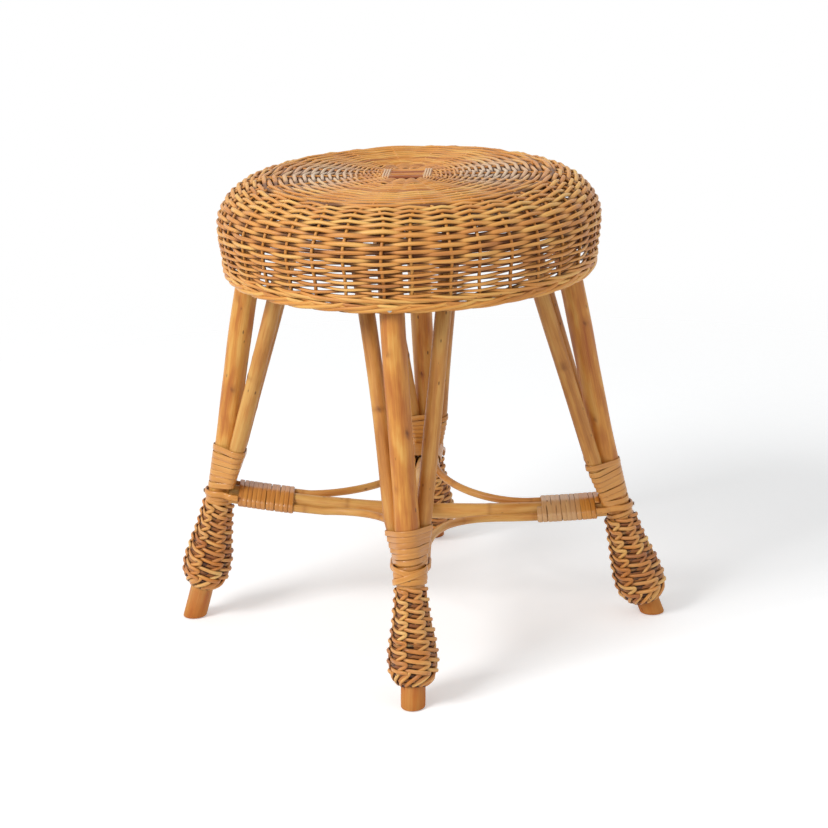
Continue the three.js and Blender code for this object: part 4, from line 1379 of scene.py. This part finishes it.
@dataclass
class FootBulb:
    """The woven bulb round a pole's foot: cane worked back over each stake in a zigzag.

    The shares give the bulb's radius down its height. A stroke gives places counted in stakes, in teeth down and in
    millimetres off the surface, and so does the bottom edge's stroke, which counts down from the bulb's end.
    """

    leg: LegLine
    workshop: Workshop
    drop: float = 8.0
    height: float = 91.0
    radius: float = 22.8
    stakes: int = 6
    teeth: int = 9
    cane: float = 3.3
    first_tooth: float = 7.0
    last_gap: float = 3.0
    shares: tuple[tuple[float, float], ...] = (
        (0, 0.63), (0.1, 0.64), (0.24, 0.7), (0.35, 0.76), (0.46, 0.84), (0.57, 0.92),
        (0.68, 0.98), (0.79, 1), (0.88, 0.94), (0.95, 0.83), (1, 0.66))
    stroke: tuple[tuple[float, float, float], ...] = (
        (-0.95, -0.36, -0.9), (-0.72, -0.28, 0.0), (-0.4, -0.18, 0.8), (-0.1, -0.08, 2.0), (0.14, -0.02, 2.0),
        (0.27, 0.1, 1.2), (0.2, 0.32, 0.9), (0.0, 0.6, 0.75), (-0.18, 0.84, 0.5), (-0.24, 1.0, 0.1),
        (-0.1, 1.1, -0.2), (0.3, 1.18, -0.4), (0.62, 1.26, -0.7), (0.86, 1.32, -1.1))
    edge_stroke: tuple[tuple[float, float, float], ...] = (
        (0.45, -13.5, -0.6), (0.3, -9.5, 1.2), (0.0, -5.0, 1.3), (-0.35, -1.2, 0.4), (-0.6, -0.4, -1.5))

    def surface(self, place: Array, drop: Array, lift: Array) -> tuple[Array, Array]:
        """Points on the bulb.

        Args:
            place: Directions counted in stakes from the leg's outward one.
            drop: Distances down from the neck.
            lift: Heights above the woven surface.

        Returns:
            The points and the outward directions.
        """
        table = np.array(self.shares)
        reach = np.interp(np.clip(drop, 0, self.height), table[:, 0] * self.height, table[:, 1])
        radius = reach * self.radius * self.leg.stray.bulb_share - self.cane / 2 - 1.0
        middle, out, side, _ = self.leg.frame(self.leg.arm - self.drop - drop)
        turn = TAU * place / self.stakes
        away = np.cos(turn)[:, None] * out + np.sin(turn)[:, None] * side
        return middle + away * (radius + lift)[:, None], away

    def build(self) -> None:
        """Weaves the bulb's stakes, its zigzag strokes and its bottom edge."""
        leg = self.leg
        rng = np.random.default_rng(150 + int(leg.arm))
        mesh = CaneMesh(f"foot_bulb_{leg.label}_weave")
        offset = 0.0 if leg.name.sideways else 0.5
        for stake in range(self.stakes):
            drops = np.linspace(1.0, self.height - 4, 26)
            points, away = self.surface(np.full_like(drops, stake + offset), drops, np.full_like(drops, -1.6))
            mesh.sweep(points, away, 2.6, 2.6, tone=0.4, depth=0.6, seed=rng.uniform(0, 50))
            for tooth in range(self.teeth):
                self.zigzag(mesh, rng, stake + offset, tooth)
        self.edge(mesh, rng, offset)
        self.workshop.set_up(mesh, BULB, "weave", f"foot_bulb_{leg.label}")

    def zigzag(self, mesh: CaneMesh, rng: np.random.Generator, stake: float, tooth: int) -> None:
        """Works one stroke over a stake, and the thinner strand that fills in under it.

        Args:
            mesh: The bulb's mesh.
            rng: The source of chance.
            stake: Where the stake stands, counted in stakes.
            tooth: The stroke's number from the top.
        """
        pitch = (self.height - self.first_tooth - self.last_gap) / self.teeth
        knots = np.array(self.stroke)
        knots[:, 0] += stake + rng.normal(0, 0.02)
        knots[:, 1] = self.first_tooth + (tooth + knots[:, 1]) * pitch + rng.normal(0, 0.25)
        knots[:, 2] = knots[:, 2] * 1.35 + rng.normal(0, 0.1)
        line = spline(knots, 3)
        size = self.cane * rng.uniform(0.92, 1.08)
        mesh.sweep(*self.surface(*line.T), size * 1.22, size, sides=7,
                   tone=float(np.clip(rng.normal(0.57, 0.11), 0, 1)), depth=smooth_step(0.6, -1.2, line[:, 2]),
                   pale=rng.uniform(0, 0.12), seed=rng.uniform(0, 50), shading=0.95)
        if tooth < self.teeth - 1:
            knots[:, 1] += 0.5 * pitch
            knots[:, 2] = 0.45 * knots[:, 2] - 0.9
            # The filling strand's depth paints shade on it under the stroke.
            mesh.sweep(*self.surface(*spline(knots, 2).T), size * 1.35, size * 0.8, sides=6,
                       tone=rng.uniform(0.25, 0.45), depth=0.5, seed=rng.uniform(0, 50), shading=0.9)

    def edge(self, mesh: CaneMesh, rng: np.random.Generator, offset: float) -> None:
        """Lays the slanting strokes of the bottom edge.

        Args:
            mesh: The bulb's mesh.
            rng: The source of chance.
            offset: Where the stakes stand, counted in stakes.
        """
        for stroke in range(2 * self.stakes):
            line = spline(np.array(self.edge_stroke) + [stroke / 2 + offset, self.height, 0.0], 4)
            mesh.sweep(*self.surface(*line.T), self.cane * 1.2, self.cane, sides=7, tone=rng.uniform(0.4, 0.75),
                       depth=smooth_step(0.2, -1.5, line[:, 2]), seed=rng.uniform(0, 50), shading=0.95)


# Cross rods and corner canes.


@dataclass
class CrossRods:
    """The two rods that cross under the seat, coped to the poles."""

    workshop: Workshop
    sides: int = 20
    steps: int = 110
    end_gap: float = 9.5
    joints: tuple[float, ...] = (0.31, 0.69)

    def build(self) -> None:
        """Sweeps both rods."""
        arms = self.workshop.arms
        for start, label in ((LegName.LEFT, "left_right"), (LegName.FRONT, "front_back")):
            rng = np.random.default_rng(200 + len(label))
            first, last = (self.end_gap / float(leg.out_at(leg.arm)) / 2
                           for leg in (arms.legs[start], arms.legs[start.opposite]))
            points = arms.rod(start, np.linspace(first, 1 - last, self.steps))
            run = np.linspace(0, 1, self.steps)
            size = arms.rod_diameter + 0.24 * (np.sin(run * 41 + 2) - 1)
            rings = sum(np.exp(-((run - joint) / 0.006) ** 2) for joint in self.joints)[:, None]
            marks = np.zeros((self.steps, self.sides, 4))
            marks[..., 1] = 0.8 * rings
            mesh = CaneMesh(f"cross_rod_{label}_cane")
            mesh.sweep(points, UP, size, size, sides=self.sides, tone=0.68, seed=rng.uniform(0, 50),
                       swell=0.3 * rings, marks=marks, shading=0.1)
            self.workshop.set_up(mesh, STAY, "pole", f"cross_rod_{label}")


@dataclass
class CornerCane:
    """A slim cane along two neighbouring arms, bent between them.

    The bends are the distances from the stool's axis at which a cane leaves an arm.
    """

    start: LegLine
    finish: LegLine
    workshop: Workshop
    front_bend: float = 92.0
    left_front_bend: float = 112.0
    right_front_bend: float = 150.0
    back_bend: float = 109.0
    squareness: float = 0.86
    end_gap: float = 0.9
    sides: int = 14
    joints: tuple[float, ...] = (0.24, 0.52, 0.77)

    def __post_init__(self) -> None:
        """Finds which corner the cane is in."""
        names = (self.start.name, self.finish.name)
        self.near_front, self.on_right = LegName.FRONT in names, LegName.RIGHT in names

    def end_radius(self, leg: LegLine) -> float:
        """Finds how far out the cane runs on an arm, short of the pole.

        Args:
            leg: The arm's leg.

        Returns:
            The distance from the stool's axis.
        """
        arms = self.workshop.arms
        inner = arms.cane_offset - arms.cane_diameter / 2
        beside = max(0.0, (leg.pole_diameter / 2) ** 2 - inner ** 2)
        reach = leg.pole_diameter / 2
        slope = float(leg.out_at(leg.arm - reach) - leg.out_at(leg.arm + reach)) / leg.pole_diameter
        lean = (arms.back_lift + arms.cane_diameter / 2) * slope
        return float(leg.out_at(leg.arm)) - math.sqrt(beside) - lean - self.end_gap

    def bend(self, leg: LegLine) -> float:
        """Finds where the cane leaves an arm.

        Args:
            leg: The arm's leg.

        Returns:
            The distance from the stool's axis.
        """
        if not self.near_front:
            return self.back_bend
        if leg.name is not LegName.FRONT:
            return self.front_bend
        return self.right_front_bend if self.on_right else self.left_front_bend

    def on_arm(self, leg: LegLine, other: LegLine) -> Array:
        """Runs the cane's straight part beside an arm.

        Args:
            leg: The arm's leg.
            other: The leg at the cane's other end.

        Returns:
            The points, from the pole to the bend.
        """
        arms = self.workshop.arms
        lift = (arms.front_lift if self.near_front else arms.back_lift) * UP
        radius = np.linspace(self.end_radius(leg), self.bend(leg), 24)
        return arms.arm(leg.name, radius) + arms.cane_offset * other.out + lift

    def path(self) -> Array:
        """Runs the cane's middle line.

        Returns:
            Its points, one a row.
        """
        start, finish = self.start.out, self.finish.out
        first, last = self.on_arm(self.start, self.finish), self.on_arm(self.finish, self.start)[::-1]
        a, b = first[-1], last[0]
        centre = (a @ start) * start + (b @ finish) * finish
        share = np.linspace(0, 1, 34)[1:-1]
        angle = (share * np.pi / 2)[:, None]
        power = self.squareness if self.near_front and self.on_right else 1.0
        curve = centre - (centre - a) @ finish * np.cos(angle) ** power * finish \
            - (centre - b) @ start * np.sin(angle) ** power * start
        curve[:, 2] = a[2] + (b[2] - a[2]) * smooth_step(0, 1, share)
        return np.vstack([first, curve, last])

    def build(self) -> None:
        """Sweeps the cane."""
        label = f"{self.start.label}_{self.finish.label}"
        rng = np.random.default_rng(230 + len(label))
        points = evenly(self.path(), 110)
        run = np.linspace(0, 1, len(points))
        size = self.workshop.arms.cane_diameter - 0.05 + 0.12 * np.sin(run * 25 + rng.uniform(0, 6))
        marks = np.zeros((len(points), self.sides, 4))
        for joint in self.joints:
            marks[..., 1] += 0.7 * np.exp(-((run - joint) / 0.007) ** 2)[:, None]
        mesh = CaneMesh(f"corner_cane_{label}_cane")
        mesh.sweep(points, UP, size, size, sides=self.sides, tone=rng.uniform(0.55, 0.75),
                   seed=rng.uniform(0, 50), marks=marks, shading=0.2)
        self.workshop.set_up(mesh, STAY, "slim_cane", f"corner_cane_{label}")


# The seat's inner frame.


@dataclass
class InnerFrame:
    """The hoop and the four rails under the seat's top."""

    workshop: Workshop
    hoop_radius: float = 133.9
    upper_level: float = 436.7
    lower_level: float = 422.4
    tube: float = 14.0
    sides: int = 18
    upper_gap: float = 8.6
    lower_overlap: float = 7.0

    def build(self) -> None:
        """Sweeps the hoop and the rails."""
        turn = np.linspace(0, TAU, 145)[:-1]
        ring = np.stack([self.hoop_radius * np.cos(turn), self.hoop_radius * np.sin(turn),
                         np.full_like(turn, self.upper_level)], axis=1)
        mesh = CaneMesh("seat_hoop_cane")
        mesh.sweep(ring, UP, self.tube, self.tube, sides=self.sides, closed=True, seed=3.0, shading=0.1)
        self.workshop.set_up(mesh, INNER, "inner_cane", "seat_hoop")
        chord = math.sqrt(self.hoop_radius ** 2 - RAIL_OFFSET ** 2)
        plans = (("upper_front", (1, 0, 0), (0, -1, 0), self.upper_level, chord - self.upper_gap),
                 ("upper_back", (1, 0, 0), (0, 1, 0), self.upper_level, chord - self.upper_gap),
                 ("lower_left", (0, 1, 0), (-1, 0, 0), self.lower_level, chord + self.lower_overlap),
                 ("lower_right", (0, 1, 0), (1, 0, 0), self.lower_level, chord + self.lower_overlap))
        for seed, (label, along, aside, level, half) in enumerate(plans):
            span = np.concatenate([[-half, -half + 0.7], np.linspace(-half + 4, half - 4, 50), [half - 0.7, half]])
            points = span[:, None] * np.array(along, float) + RAIL_OFFSET * np.array(aside, float) + level * UP
            size = self.tube + 0.1 * np.sin(span / 17 + seed)
            size[[0, -1]] -= 1.2
            mesh = CaneMesh(f"rail_{label}_cane")
            mesh.sweep(points, UP, size, size, sides=self.sides, tone=0.4 + 0.06 * seed, seed=7.0 + seed,
                       shading=0.1)
            self.workshop.set_up(mesh, INNER, "inner_cane", f"rail_{label}")


# The woven seat.


@dataclass
class WovenRow:
    """One row of weaving round the seat.

    A row lies at its run along the outline, set in by its inset, and swings in and out of the stakes. Rise is a
    strand's climb in the row, tilt lowers the row towards one side, straightness draws it straight between stakes,
    angular sharpens its bends, and ease flattens it towards the front and the back.
    """

    seat: SeatProfile
    stakes: Array
    weave: Weave
    run: float
    size: float
    swing: float
    inset: float
    parity: int = 0
    rise: float = 0.0
    tilt: float = 0.0
    straightness: float = 0.0
    tone: float = 0.52
    breadth: float = 1.0
    angular: float = 0.0
    ease: float = 0.0
    steps: int = 10
    sides: int = 7

    def passes(self, phase: Array) -> tuple[Array, Array]:
        """How a strand lies as it passes the stakes.

        Args:
            phase: Place along the strand's pattern, in stakes.

        Returns:
            Its lift off the row's surface and its rise up the row, as shares.
        """
        if self.weave is Weave.WALING:
            t = phase % 3
            lift = np.interp(t, [0, 0.5, 1, 1.5, 2, 2.5, 3], [-1, 0.15, 1.1, 1.15, 0.85, -0.1, -1])
            return lift, np.interp(t, [0, 0.4, 2.6, 3], [0, 1, -1, 0])
        lift = np.cos(np.pi * phase)
        lift += self.angular * (1 - 2 * np.abs((phase + 1) % 2 - 1) - lift)
        return lift, np.sin(np.pi * phase) if self.weave is Weave.PAIRING else np.zeros_like(lift)

    def weave_into(self, mesh: CaneMesh, rng: np.random.Generator, pale: Callable[[Array], Array]) -> None:
        """Adds the row's strands to a mesh.

        Args:
            mesh: The mesh that takes the strands.
            rng: The source of chance.
            pale: Paleness by azimuth.
        """
        place = np.arange(len(self.stakes) * self.steps) / self.steps
        azimuth, near = cyclic(self.stakes, place), cyclic(self.stakes, np.floor(place))
        gap = cyclic(self.stakes, np.floor(place) + 1) - near
        chord = np.cos(gap / 2) / np.cos(azimuth - near - gap / 2)

        def waver(first: int, first_size: float, second: int, second_size: float) -> Array:
            """Two slow waves round the seat, each at a chance phase."""
            return first_size * np.sin(azimuth * first + rng.uniform(0, 6)) \
                + second_size * np.sin(azimuth * second + rng.uniform(0, 6))

        for strand in range(self.weave.value):
            lift, climb = self.passes(place + strand + self.parity)
            run = self.run - self.rise * climb + waver(3, 0.28, 11, 0.24) - self.tilt * np.cos(azimuth)
            if self.straightness:
                run = run * (1 + (chord - 1) * self.straightness * (0.38 + 0.62 * np.cos(azimuth) ** 4))
            height = lift * self.swing * (1 - self.ease * np.sin(azimuth) ** 2)
            points, outward = self.seat.surface(run, azimuth, height - self.inset)
            size = self.size * (1 + waver(5, 0.07, 13, 0.05))
            mesh.sweep(points, outward, size * self.breadth, size, sides=self.sides, closed=True,
                       tone=float(np.clip(rng.normal(self.tone, 0.13), 0.02, 0.98)), pale=pale(azimuth),
                       depth=smooth_step(0.4, -1.0, lift), seed=rng.uniform(0, 90), shading=0.95)


@dataclass
class SeatTop:
    """The seat's flat woven top: the slath, its wraps, the pairing round it, and fine rows out to the edge."""

    workshop: Workshop
    inset: float = 3.0
    slath_rods: int = 4
    slath_pitch: float = 9.8
    slath_half: float = 22.0
    slath_level: float = 448.0
    under_share: float = 1.3
    under_level: float = 445.4
    wraps: int = 3
    wrap_start: float = 17.2
    wrap_pitch: float = 2.4
    pairing_start: float = 27.0
    pairing_pitch: float = 4.4
    pairing_rows: int = 5
    rows_start: float = 49.0
    rows: int = 23
    row_share: float = 0.65

    def build(self) -> None:
        """Weaves the top."""
        seat = self.workshop.seat
        rng = np.random.default_rng(310)
        mesh = CaneMesh("seat_top_weave_cane")
        self.spokes(mesh, rng)
        self.slath(mesh, rng)
        for row in range(self.pairing_rows):
            WovenRow(seat, seat.spokes, Weave.PAIRING, self.pairing_start + self.pairing_pitch * row, 2.4, 1.45,
                     self.inset + 0.1, parity=row % 2, rise=1.6, straightness=0.3,
                     tone=0.4).weave_into(mesh, rng, lambda a: 0.1 + 0 * a)
        for row in range(self.rows):
            way = row / (self.rows - 1)
            share = self.row_share * way + (1 - self.row_share) * way ** 2
            run = self.rows_start + (seat.flat_radius - self.rows_start) * share
            size = 2.5 + 1.2 * way

            def pale(azimuth: Array, strength: float = 0.85 * math.sin(math.pi * min(1.0, share + 0.12))) -> Array:
                """Greyer to the left and right, where the cane is most handled."""
                return strength * np.abs(np.cos(azimuth)) ** 5

            WovenRow(seat, seat.spokes, Weave.RANDING, run, size, 2.75 - size / 2, self.inset, parity=row % 2,
                     straightness=0.95, steps=11, tone=0.5, breadth=1.05 + 0.22 * way,
                     ease=0.5 - 0.22 * way).weave_into(mesh, rng, pale)
        self.workshop.set_up(mesh, WEAVE, "weave", "seat_top_weave")

    def spokes(self, mesh: CaneMesh, rng: np.random.Generator) -> None:
        """Lays the spokes from the slath out to the edge of the top.

        Args:
            mesh: The top's mesh.
            rng: The source of chance.
        """
        half = (self.slath_rods - 1) / 2
        for azimuth in self.workshop.seat.spokes:
            away = np.array([math.cos(azimuth), math.sin(azimuth), 0.0])
            if abs(away[0]) > math.cos(math.radians(50)):
                aside = np.clip(round(math.degrees(math.asin(away[1])) / 20), -half, half) * self.slath_pitch
                start = np.array([math.copysign(self.slath_half, away[0]), aside, 0.0])
                level = 448.3
            else:
                aside = np.clip(round(math.degrees(math.asin(away[0])) / 20 + 0.5) - 0.5, -half, half)
                start = np.array([aside * self.slath_pitch * self.under_share, math.copysign(16.5, away[1]), 0.0])
                level = 446.2
            knots = np.array([start * 0.7, start, away * 44, away * 90, away * 137])
            knots[:, 2] = [level, level, 447.0, 447.0, 446.8]
            line = spline(knots, 10)
            size = np.interp(np.linspace(0, 1, len(line)), [0, 0.35, 1], [4.4, 3.0, 3.1])
            mesh.sweep(line, UP, size, np.minimum(size, 3.0), tone=rng.uniform(0.35, 0.6),
                       seed=rng.uniform(0, 50), depth=0.25)

    def slath(self, mesh: CaneMesh, rng: np.random.Generator) -> None:
        """Lays the crossed rods at the middle and the wraps that hold them.

        Args:
            mesh: The top's mesh.
            rng: The source of chance.
        """
        steps = 12
        offsets = [(rod - (self.slath_rods - 1) / 2) * self.slath_pitch for rod in range(self.slath_rods)]
        for rod, aside in enumerate(offsets):
            line = np.stack([np.linspace(-24, 24, steps), np.full(steps, aside),
                             np.full(steps, self.slath_level - 0.1)], axis=1)
            mesh.sweep(line, UP, 7.0, 4.2, sides=12, tone=0.1 + 0.3 * (rod % 2), seed=rng.uniform(0, 50),
                       shading=0.95)
        for aside in offsets:
            line = np.stack([np.full(steps, aside * self.under_share),
                             np.linspace(-self.slath_half, self.slath_half, steps),
                             np.full(steps, self.under_level)], axis=1)
            mesh.sweep(line, UP, 10.6, 3.0, sides=10, tone=rng.uniform(0.3, 0.5), seed=rng.uniform(0, 50),
                       depth=0.5)
        half = offsets[-1] + 3.4
        angle = np.linspace(0, TAU, 41)[:-1]
        cos, sin = np.cos(angle), np.sin(angle)
        outward = unit(np.stack([np.zeros_like(angle), 0.25 * cos, sin], axis=1))
        for hand in (-1, 1):
            for turn in range(self.wraps):
                across = hand * (self.wrap_start + self.wrap_pitch * turn)
                ring = np.stack([across + 0.35 * cos, powered(cos, 0.5) * half,
                                 self.slath_level + powered(sin, 0.5) * 1.9], axis=1)
                mesh.sweep(ring, outward, 2.0, 1.2, sides=7, closed=True, tone=0.6, pale=0.45,
                           seed=rng.uniform(0, 50))


@dataclass
class SeatWall:
    """The seat's shoulder of coarse rows and its side wall of finer ones."""

    workshop: Workshop
    stake: float = 3.4
    stake_start: float = 118.0
    stake_end: float = 361.5
    strand: float = 3.0
    swing: float = 2.35
    inset: float = 3.85
    shoulder_start: float = 3.8
    shoulder_rows: int = 9
    shoulder_pitch: float = 4.05
    shoulder_cane: float = 3.4
    shoulder_swing: float = 2.75
    wall_start: float = 39.9
    wall_rows: int = 18
    wall_share: float = 0.14
    foot_level: float = 373.4
    tilt: float = 3.0

    def build(self) -> None:
        """Weaves the shoulder and the wall on their stakes."""
        seat = self.workshop.seat
        rng = np.random.default_rng(350)
        mesh = CaneMesh("seat_side_weave_cane")
        self.stakes(mesh, rng)

        def plain(azimuth: Array) -> Array:
            """Only a trace of grey."""
            return np.full_like(azimuth, 0.04)

        for row in range(self.shoulder_rows):
            run = seat.flat_radius + self.shoulder_start + self.shoulder_pitch * row
            swing = self.shoulder_swing * (0.62 + 0.38 * min(1.0, row / 3))
            WovenRow(seat, seat.azimuths, Weave.RANDING, run, self.shoulder_cane, swing, self.inset + 0.3,
                     parity=row % 2, steps=8, breadth=1.24, angular=0.7, tone=0.54).weave_into(mesh, rng, plain)
        first = seat.flat_radius + self.wall_start
        last = float(seat.level_run(self.foot_level))
        for row in range(self.wall_rows):
            way = row / (self.wall_rows - 1)
            run = first + (last - first) * way * (1 + self.wall_share * (1 - way))
            tilt = self.tilt * math.sin(math.pi * (0.15 + 0.85 * (1 - way)))
            WovenRow(seat, seat.azimuths, Weave.RANDING, run, self.strand * (1.14 - 0.16 * way), self.swing,
                     self.inset, parity=(row + self.shoulder_rows) % 2, tilt=tilt, steps=8,
                     breadth=1.38 - 0.46 * way, angular=0.25, tone=0.56).weave_into(mesh, rng, plain)
        self.workshop.set_up(mesh, WEAVE, "weave", "seat_side_weave")

    def stakes(self, mesh: CaneMesh, rng: np.random.Generator) -> None:
        """Lays the stakes from the top's edge, over the shoulder and down the wall.

        Args:
            mesh: The wall's mesh.
            rng: The source of chance.
        """
        seat = self.workshop.seat
        run = np.linspace(self.stake_start, float(seat.level_run(self.stake_end)), 60)
        apart = smooth_step(128, 164, run)
        for index, azimuth in enumerate(seat.azimuths):
            spoke = seat.spokes[index // 2]
            near = spoke + math.copysign(0.022, azimuth - spoke)
            line = near + (azimuth - near) * apart + 0.004 * np.sin(run / 9 + rng.uniform(0, 6))
            mesh.sweep(*seat.surface(run, line, -self.inset - 0.15), self.stake, self.stake,
                       tone=rng.uniform(0.4, 0.65), seed=rng.uniform(0, 50), depth=0.3, shading=0.6)


@dataclass
class SeatBorder:
    """The two rows of waling under the wall and the border rolled from the stakes' ends.

    A roll gives places counted in stakes, heights, and distances off the wall.
    """

    workshop: Workshop
    cane: float = 3.7
    waling_levels: tuple[float, float] = (369.2, 363.6)
    roll: tuple[tuple[float, float, float], ...] = (
        (0.15, 367.0, -5.0), (0.0, 365.6, -2.4), (-0.35, 363.6, -0.1), (-0.9, 361.6, 0.5), (-1.5, 359.6, 0.2),
        (-1.95, 358.3, -1.4), (-2.25, 357.9, -4.0), (-2.5, 359.0, -7.0))

    def build(self) -> None:
        """Weaves the border."""
        seat = self.workshop.seat
        rng = np.random.default_rng(390)
        mesh = CaneMesh("seat_border_cane")
        for row, level in enumerate(self.waling_levels):
            WovenRow(seat, seat.azimuths, Weave.WALING, float(seat.level_run(level)), 3.2, 2.3, 3.9,
                     parity=row, rise=2.7, steps=9, breadth=1.1).weave_into(mesh, rng, lambda a: 0.03 + 0 * a)
        for index in range(seat.stakes):
            knots = np.array(self.roll) + [index, rng.uniform(-0.4, 0.4), rng.uniform(-0.3, 0.3)]
            place, level, off = spline(knots, 5).T
            points, outward = seat.surface(seat.level_run(level), cyclic(seat.azimuths, place), off - 0.9)
            points[:, 2] = np.minimum(points[:, 2], level + 1)
            mesh.sweep(points, outward, self.cane * 1.2, self.cane, tone=float(rng.uniform(0.35, 0.75)),
                       depth=smooth_step(-0.8, -4.0, off), seed=rng.uniform(0, 50), shading=0.95)
        self.workshop.set_up(mesh, WEAVE, "weave", "seat_border")


@dataclass
class Nails:
    """The steel nails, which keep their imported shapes."""

    workshop: Workshop

    def dress(self) -> None:
        """Gives every nail its steel, which is stained in the straps."""
        for name, node in frame["nodes"].items():
            if "nail" in name:
                node.data.materials.clear()
                node.data.materials.append(self.workshop.stained if "strap" in name else self.workshop.steel)


@dataclass
class Studio:
    """The pale floor, the white surroundings and the soft lamps, in metres and watts."""

    ambient: float = 0.5
    key_place: tuple[float, float, float] = (-2.0, -1.8, 2.3)
    key_size: float = 1.3
    key_power: float = 68.0
    fill_place: tuple[float, float, float] = (2.3, -1.2, 1.2)
    fill_size: float = 2.0
    fill_power: float = 5.0
    lamps_aim: tuple[float, float, float] = (0.0, 0.0, 0.25)
    floor_lift: float = 0.3
    floor_size: float = 2.6
    floor_rings: int = 24
    floor_spokes: int = 64
    floor_drop: float = 0.0006
    fade: tuple[float, float] = (0.45, 1.5)

    def build(self) -> None:
        """Makes the studio."""
        StudioCamera().build()
        self.world()
        self.floor()
        self.lamp("key_lamp", self.key_place, self.key_size, self.key_power)
        self.lamp("fill_lamp", self.fill_place, self.fill_size, self.fill_power)

    def world(self) -> None:
        """Makes surroundings that are white to the eye and softer as a lamp."""
        world = bpy.data.worlds.new("studio_world")
        bpy.context.scene.world = world
        graph = Graph.of(world)
        strength = graph.maths("ADD", graph.maths("MULTIPLY", graph.seen(), 1 - self.ambient), self.ambient)
        back = graph.node("ShaderNodeBackground", {"Color": (1, 1, 1, 1), "Strength": strength})
        graph.node("ShaderNodeOutputWorld", {"Surface": back.outputs[0]})

    def floor(self) -> None:
        """Makes a pale floor that fades into the white around it."""
        rings, spokes = self.floor_rings, self.floor_spokes
        points = [(0.0, 0.0, 0.0)]
        points += [(r * math.cos(TAU * k / spokes), r * math.sin(TAU * k / spokes), 0.0)
                   for r in np.linspace(self.floor_size / rings, self.floor_size, rings) for k in range(spokes)]
        faces: list[Any] = [(0, 1 + k, 1 + (k + 1) % spokes) for k in range(spokes)]
        for low in range(1, 1 + (rings - 1) * spokes, spokes):
            high = low + spokes
            faces += [(low + k, high + k, high + (k + 1) % spokes, low + (k + 1) % spokes) for k in range(spokes)]
        mesh = bpy.data.meshes.new("studio_floor")
        mesh.from_pydata(points, [], faces)
        mesh.materials.append(self.paper())
        piece = bpy.data.objects.new("studio_floor", mesh)
        piece.location.z = -self.floor_drop
        bpy.context.scene.collection.objects.link(piece)

    def paper(self) -> bpy.types.Material:
        """Makes the floor's paper, which fades out with the distance from the stool.

        Returns:
            The material.
        """
        material = bpy.data.materials.new("floor_paper")
        graph = Graph.of(material)
        place = graph.node("ShaderNodeTexCoord").outputs["Object"]
        reach = graph.node("ShaderNodeVectorMath", {0: place}, operation="LENGTH").outputs["Value"]
        pale = graph.blend(graph.noise(place, 60.0), (0.92, 0.935, 0.945, 1), (0.94, 0.955, 0.965, 1))
        matt = graph.node("ShaderNodeBsdfDiffuse", {"Color": pale})
        white = graph.node("ShaderNodeEmission", {
            "Strength": graph.maths("MULTIPLY", graph.seen(), self.floor_lift)})
        lifted = graph.node("ShaderNodeAddShader", {0: matt.outputs[0], 1: white.outputs[0]})
        clear = graph.node("ShaderNodeBsdfTransparent")
        mixed = graph.node("ShaderNodeMixShader", {0: graph.between(reach, *self.fade), 1: lifted.outputs[0],
                                                   2: clear.outputs[0]})
        graph.node("ShaderNodeOutputMaterial", {"Surface": mixed.outputs[0]})
        return material

    def lamp(self, name: str, place: tuple[float, float, float], size: float, power: float) -> None:
        """Adds a square lamp that faces the stool.

        Args:
            name: The lamp's name.
            place: Where it stands.
            size: The length of its side.
            power: Its power.
        """
        data = bpy.data.lights.new(name, "AREA")
        data.size = size
        data.energy = power
        lamp = bpy.data.objects.new(name, data)
        lamp.location = place
        lamp.rotation_mode = "QUATERNION"
        lamp.rotation_quaternion = (Vector(self.lamps_aim) - Vector(place)).to_track_quat("-Z", "Y")
        bpy.context.scene.collection.objects.link(lamp)


def main() -> None:
    """Builds the stool's pieces in order and reports each one."""
    logging.basicConfig(level=logging.INFO, format="%(message)s")
    bpy.context.scene.view_settings.view_transform = "Standard"
    Studio().build()
    workshop = Workshop()
    for part in (SeatTop, SeatWall, SeatBorder, InnerFrame, CrossRods):
        part(workshop).build()
    for leg in workshop.legs.values():
        Pole(leg, workshop).build()
        for hand in (-1, 1):
            Stay(leg, hand, workshop).build()
        for part in (LegBinding, ArmBinding, Strap, FootBulb):
            part(leg, workshop).build()
    legs = list(workshop.legs.values())
    for start, finish in zip(legs, legs[1:] + legs[:1]):
        CornerCane(start, finish, workshop).build()
    Nails(workshop).dress()


if __name__ == "__main__":
    main()
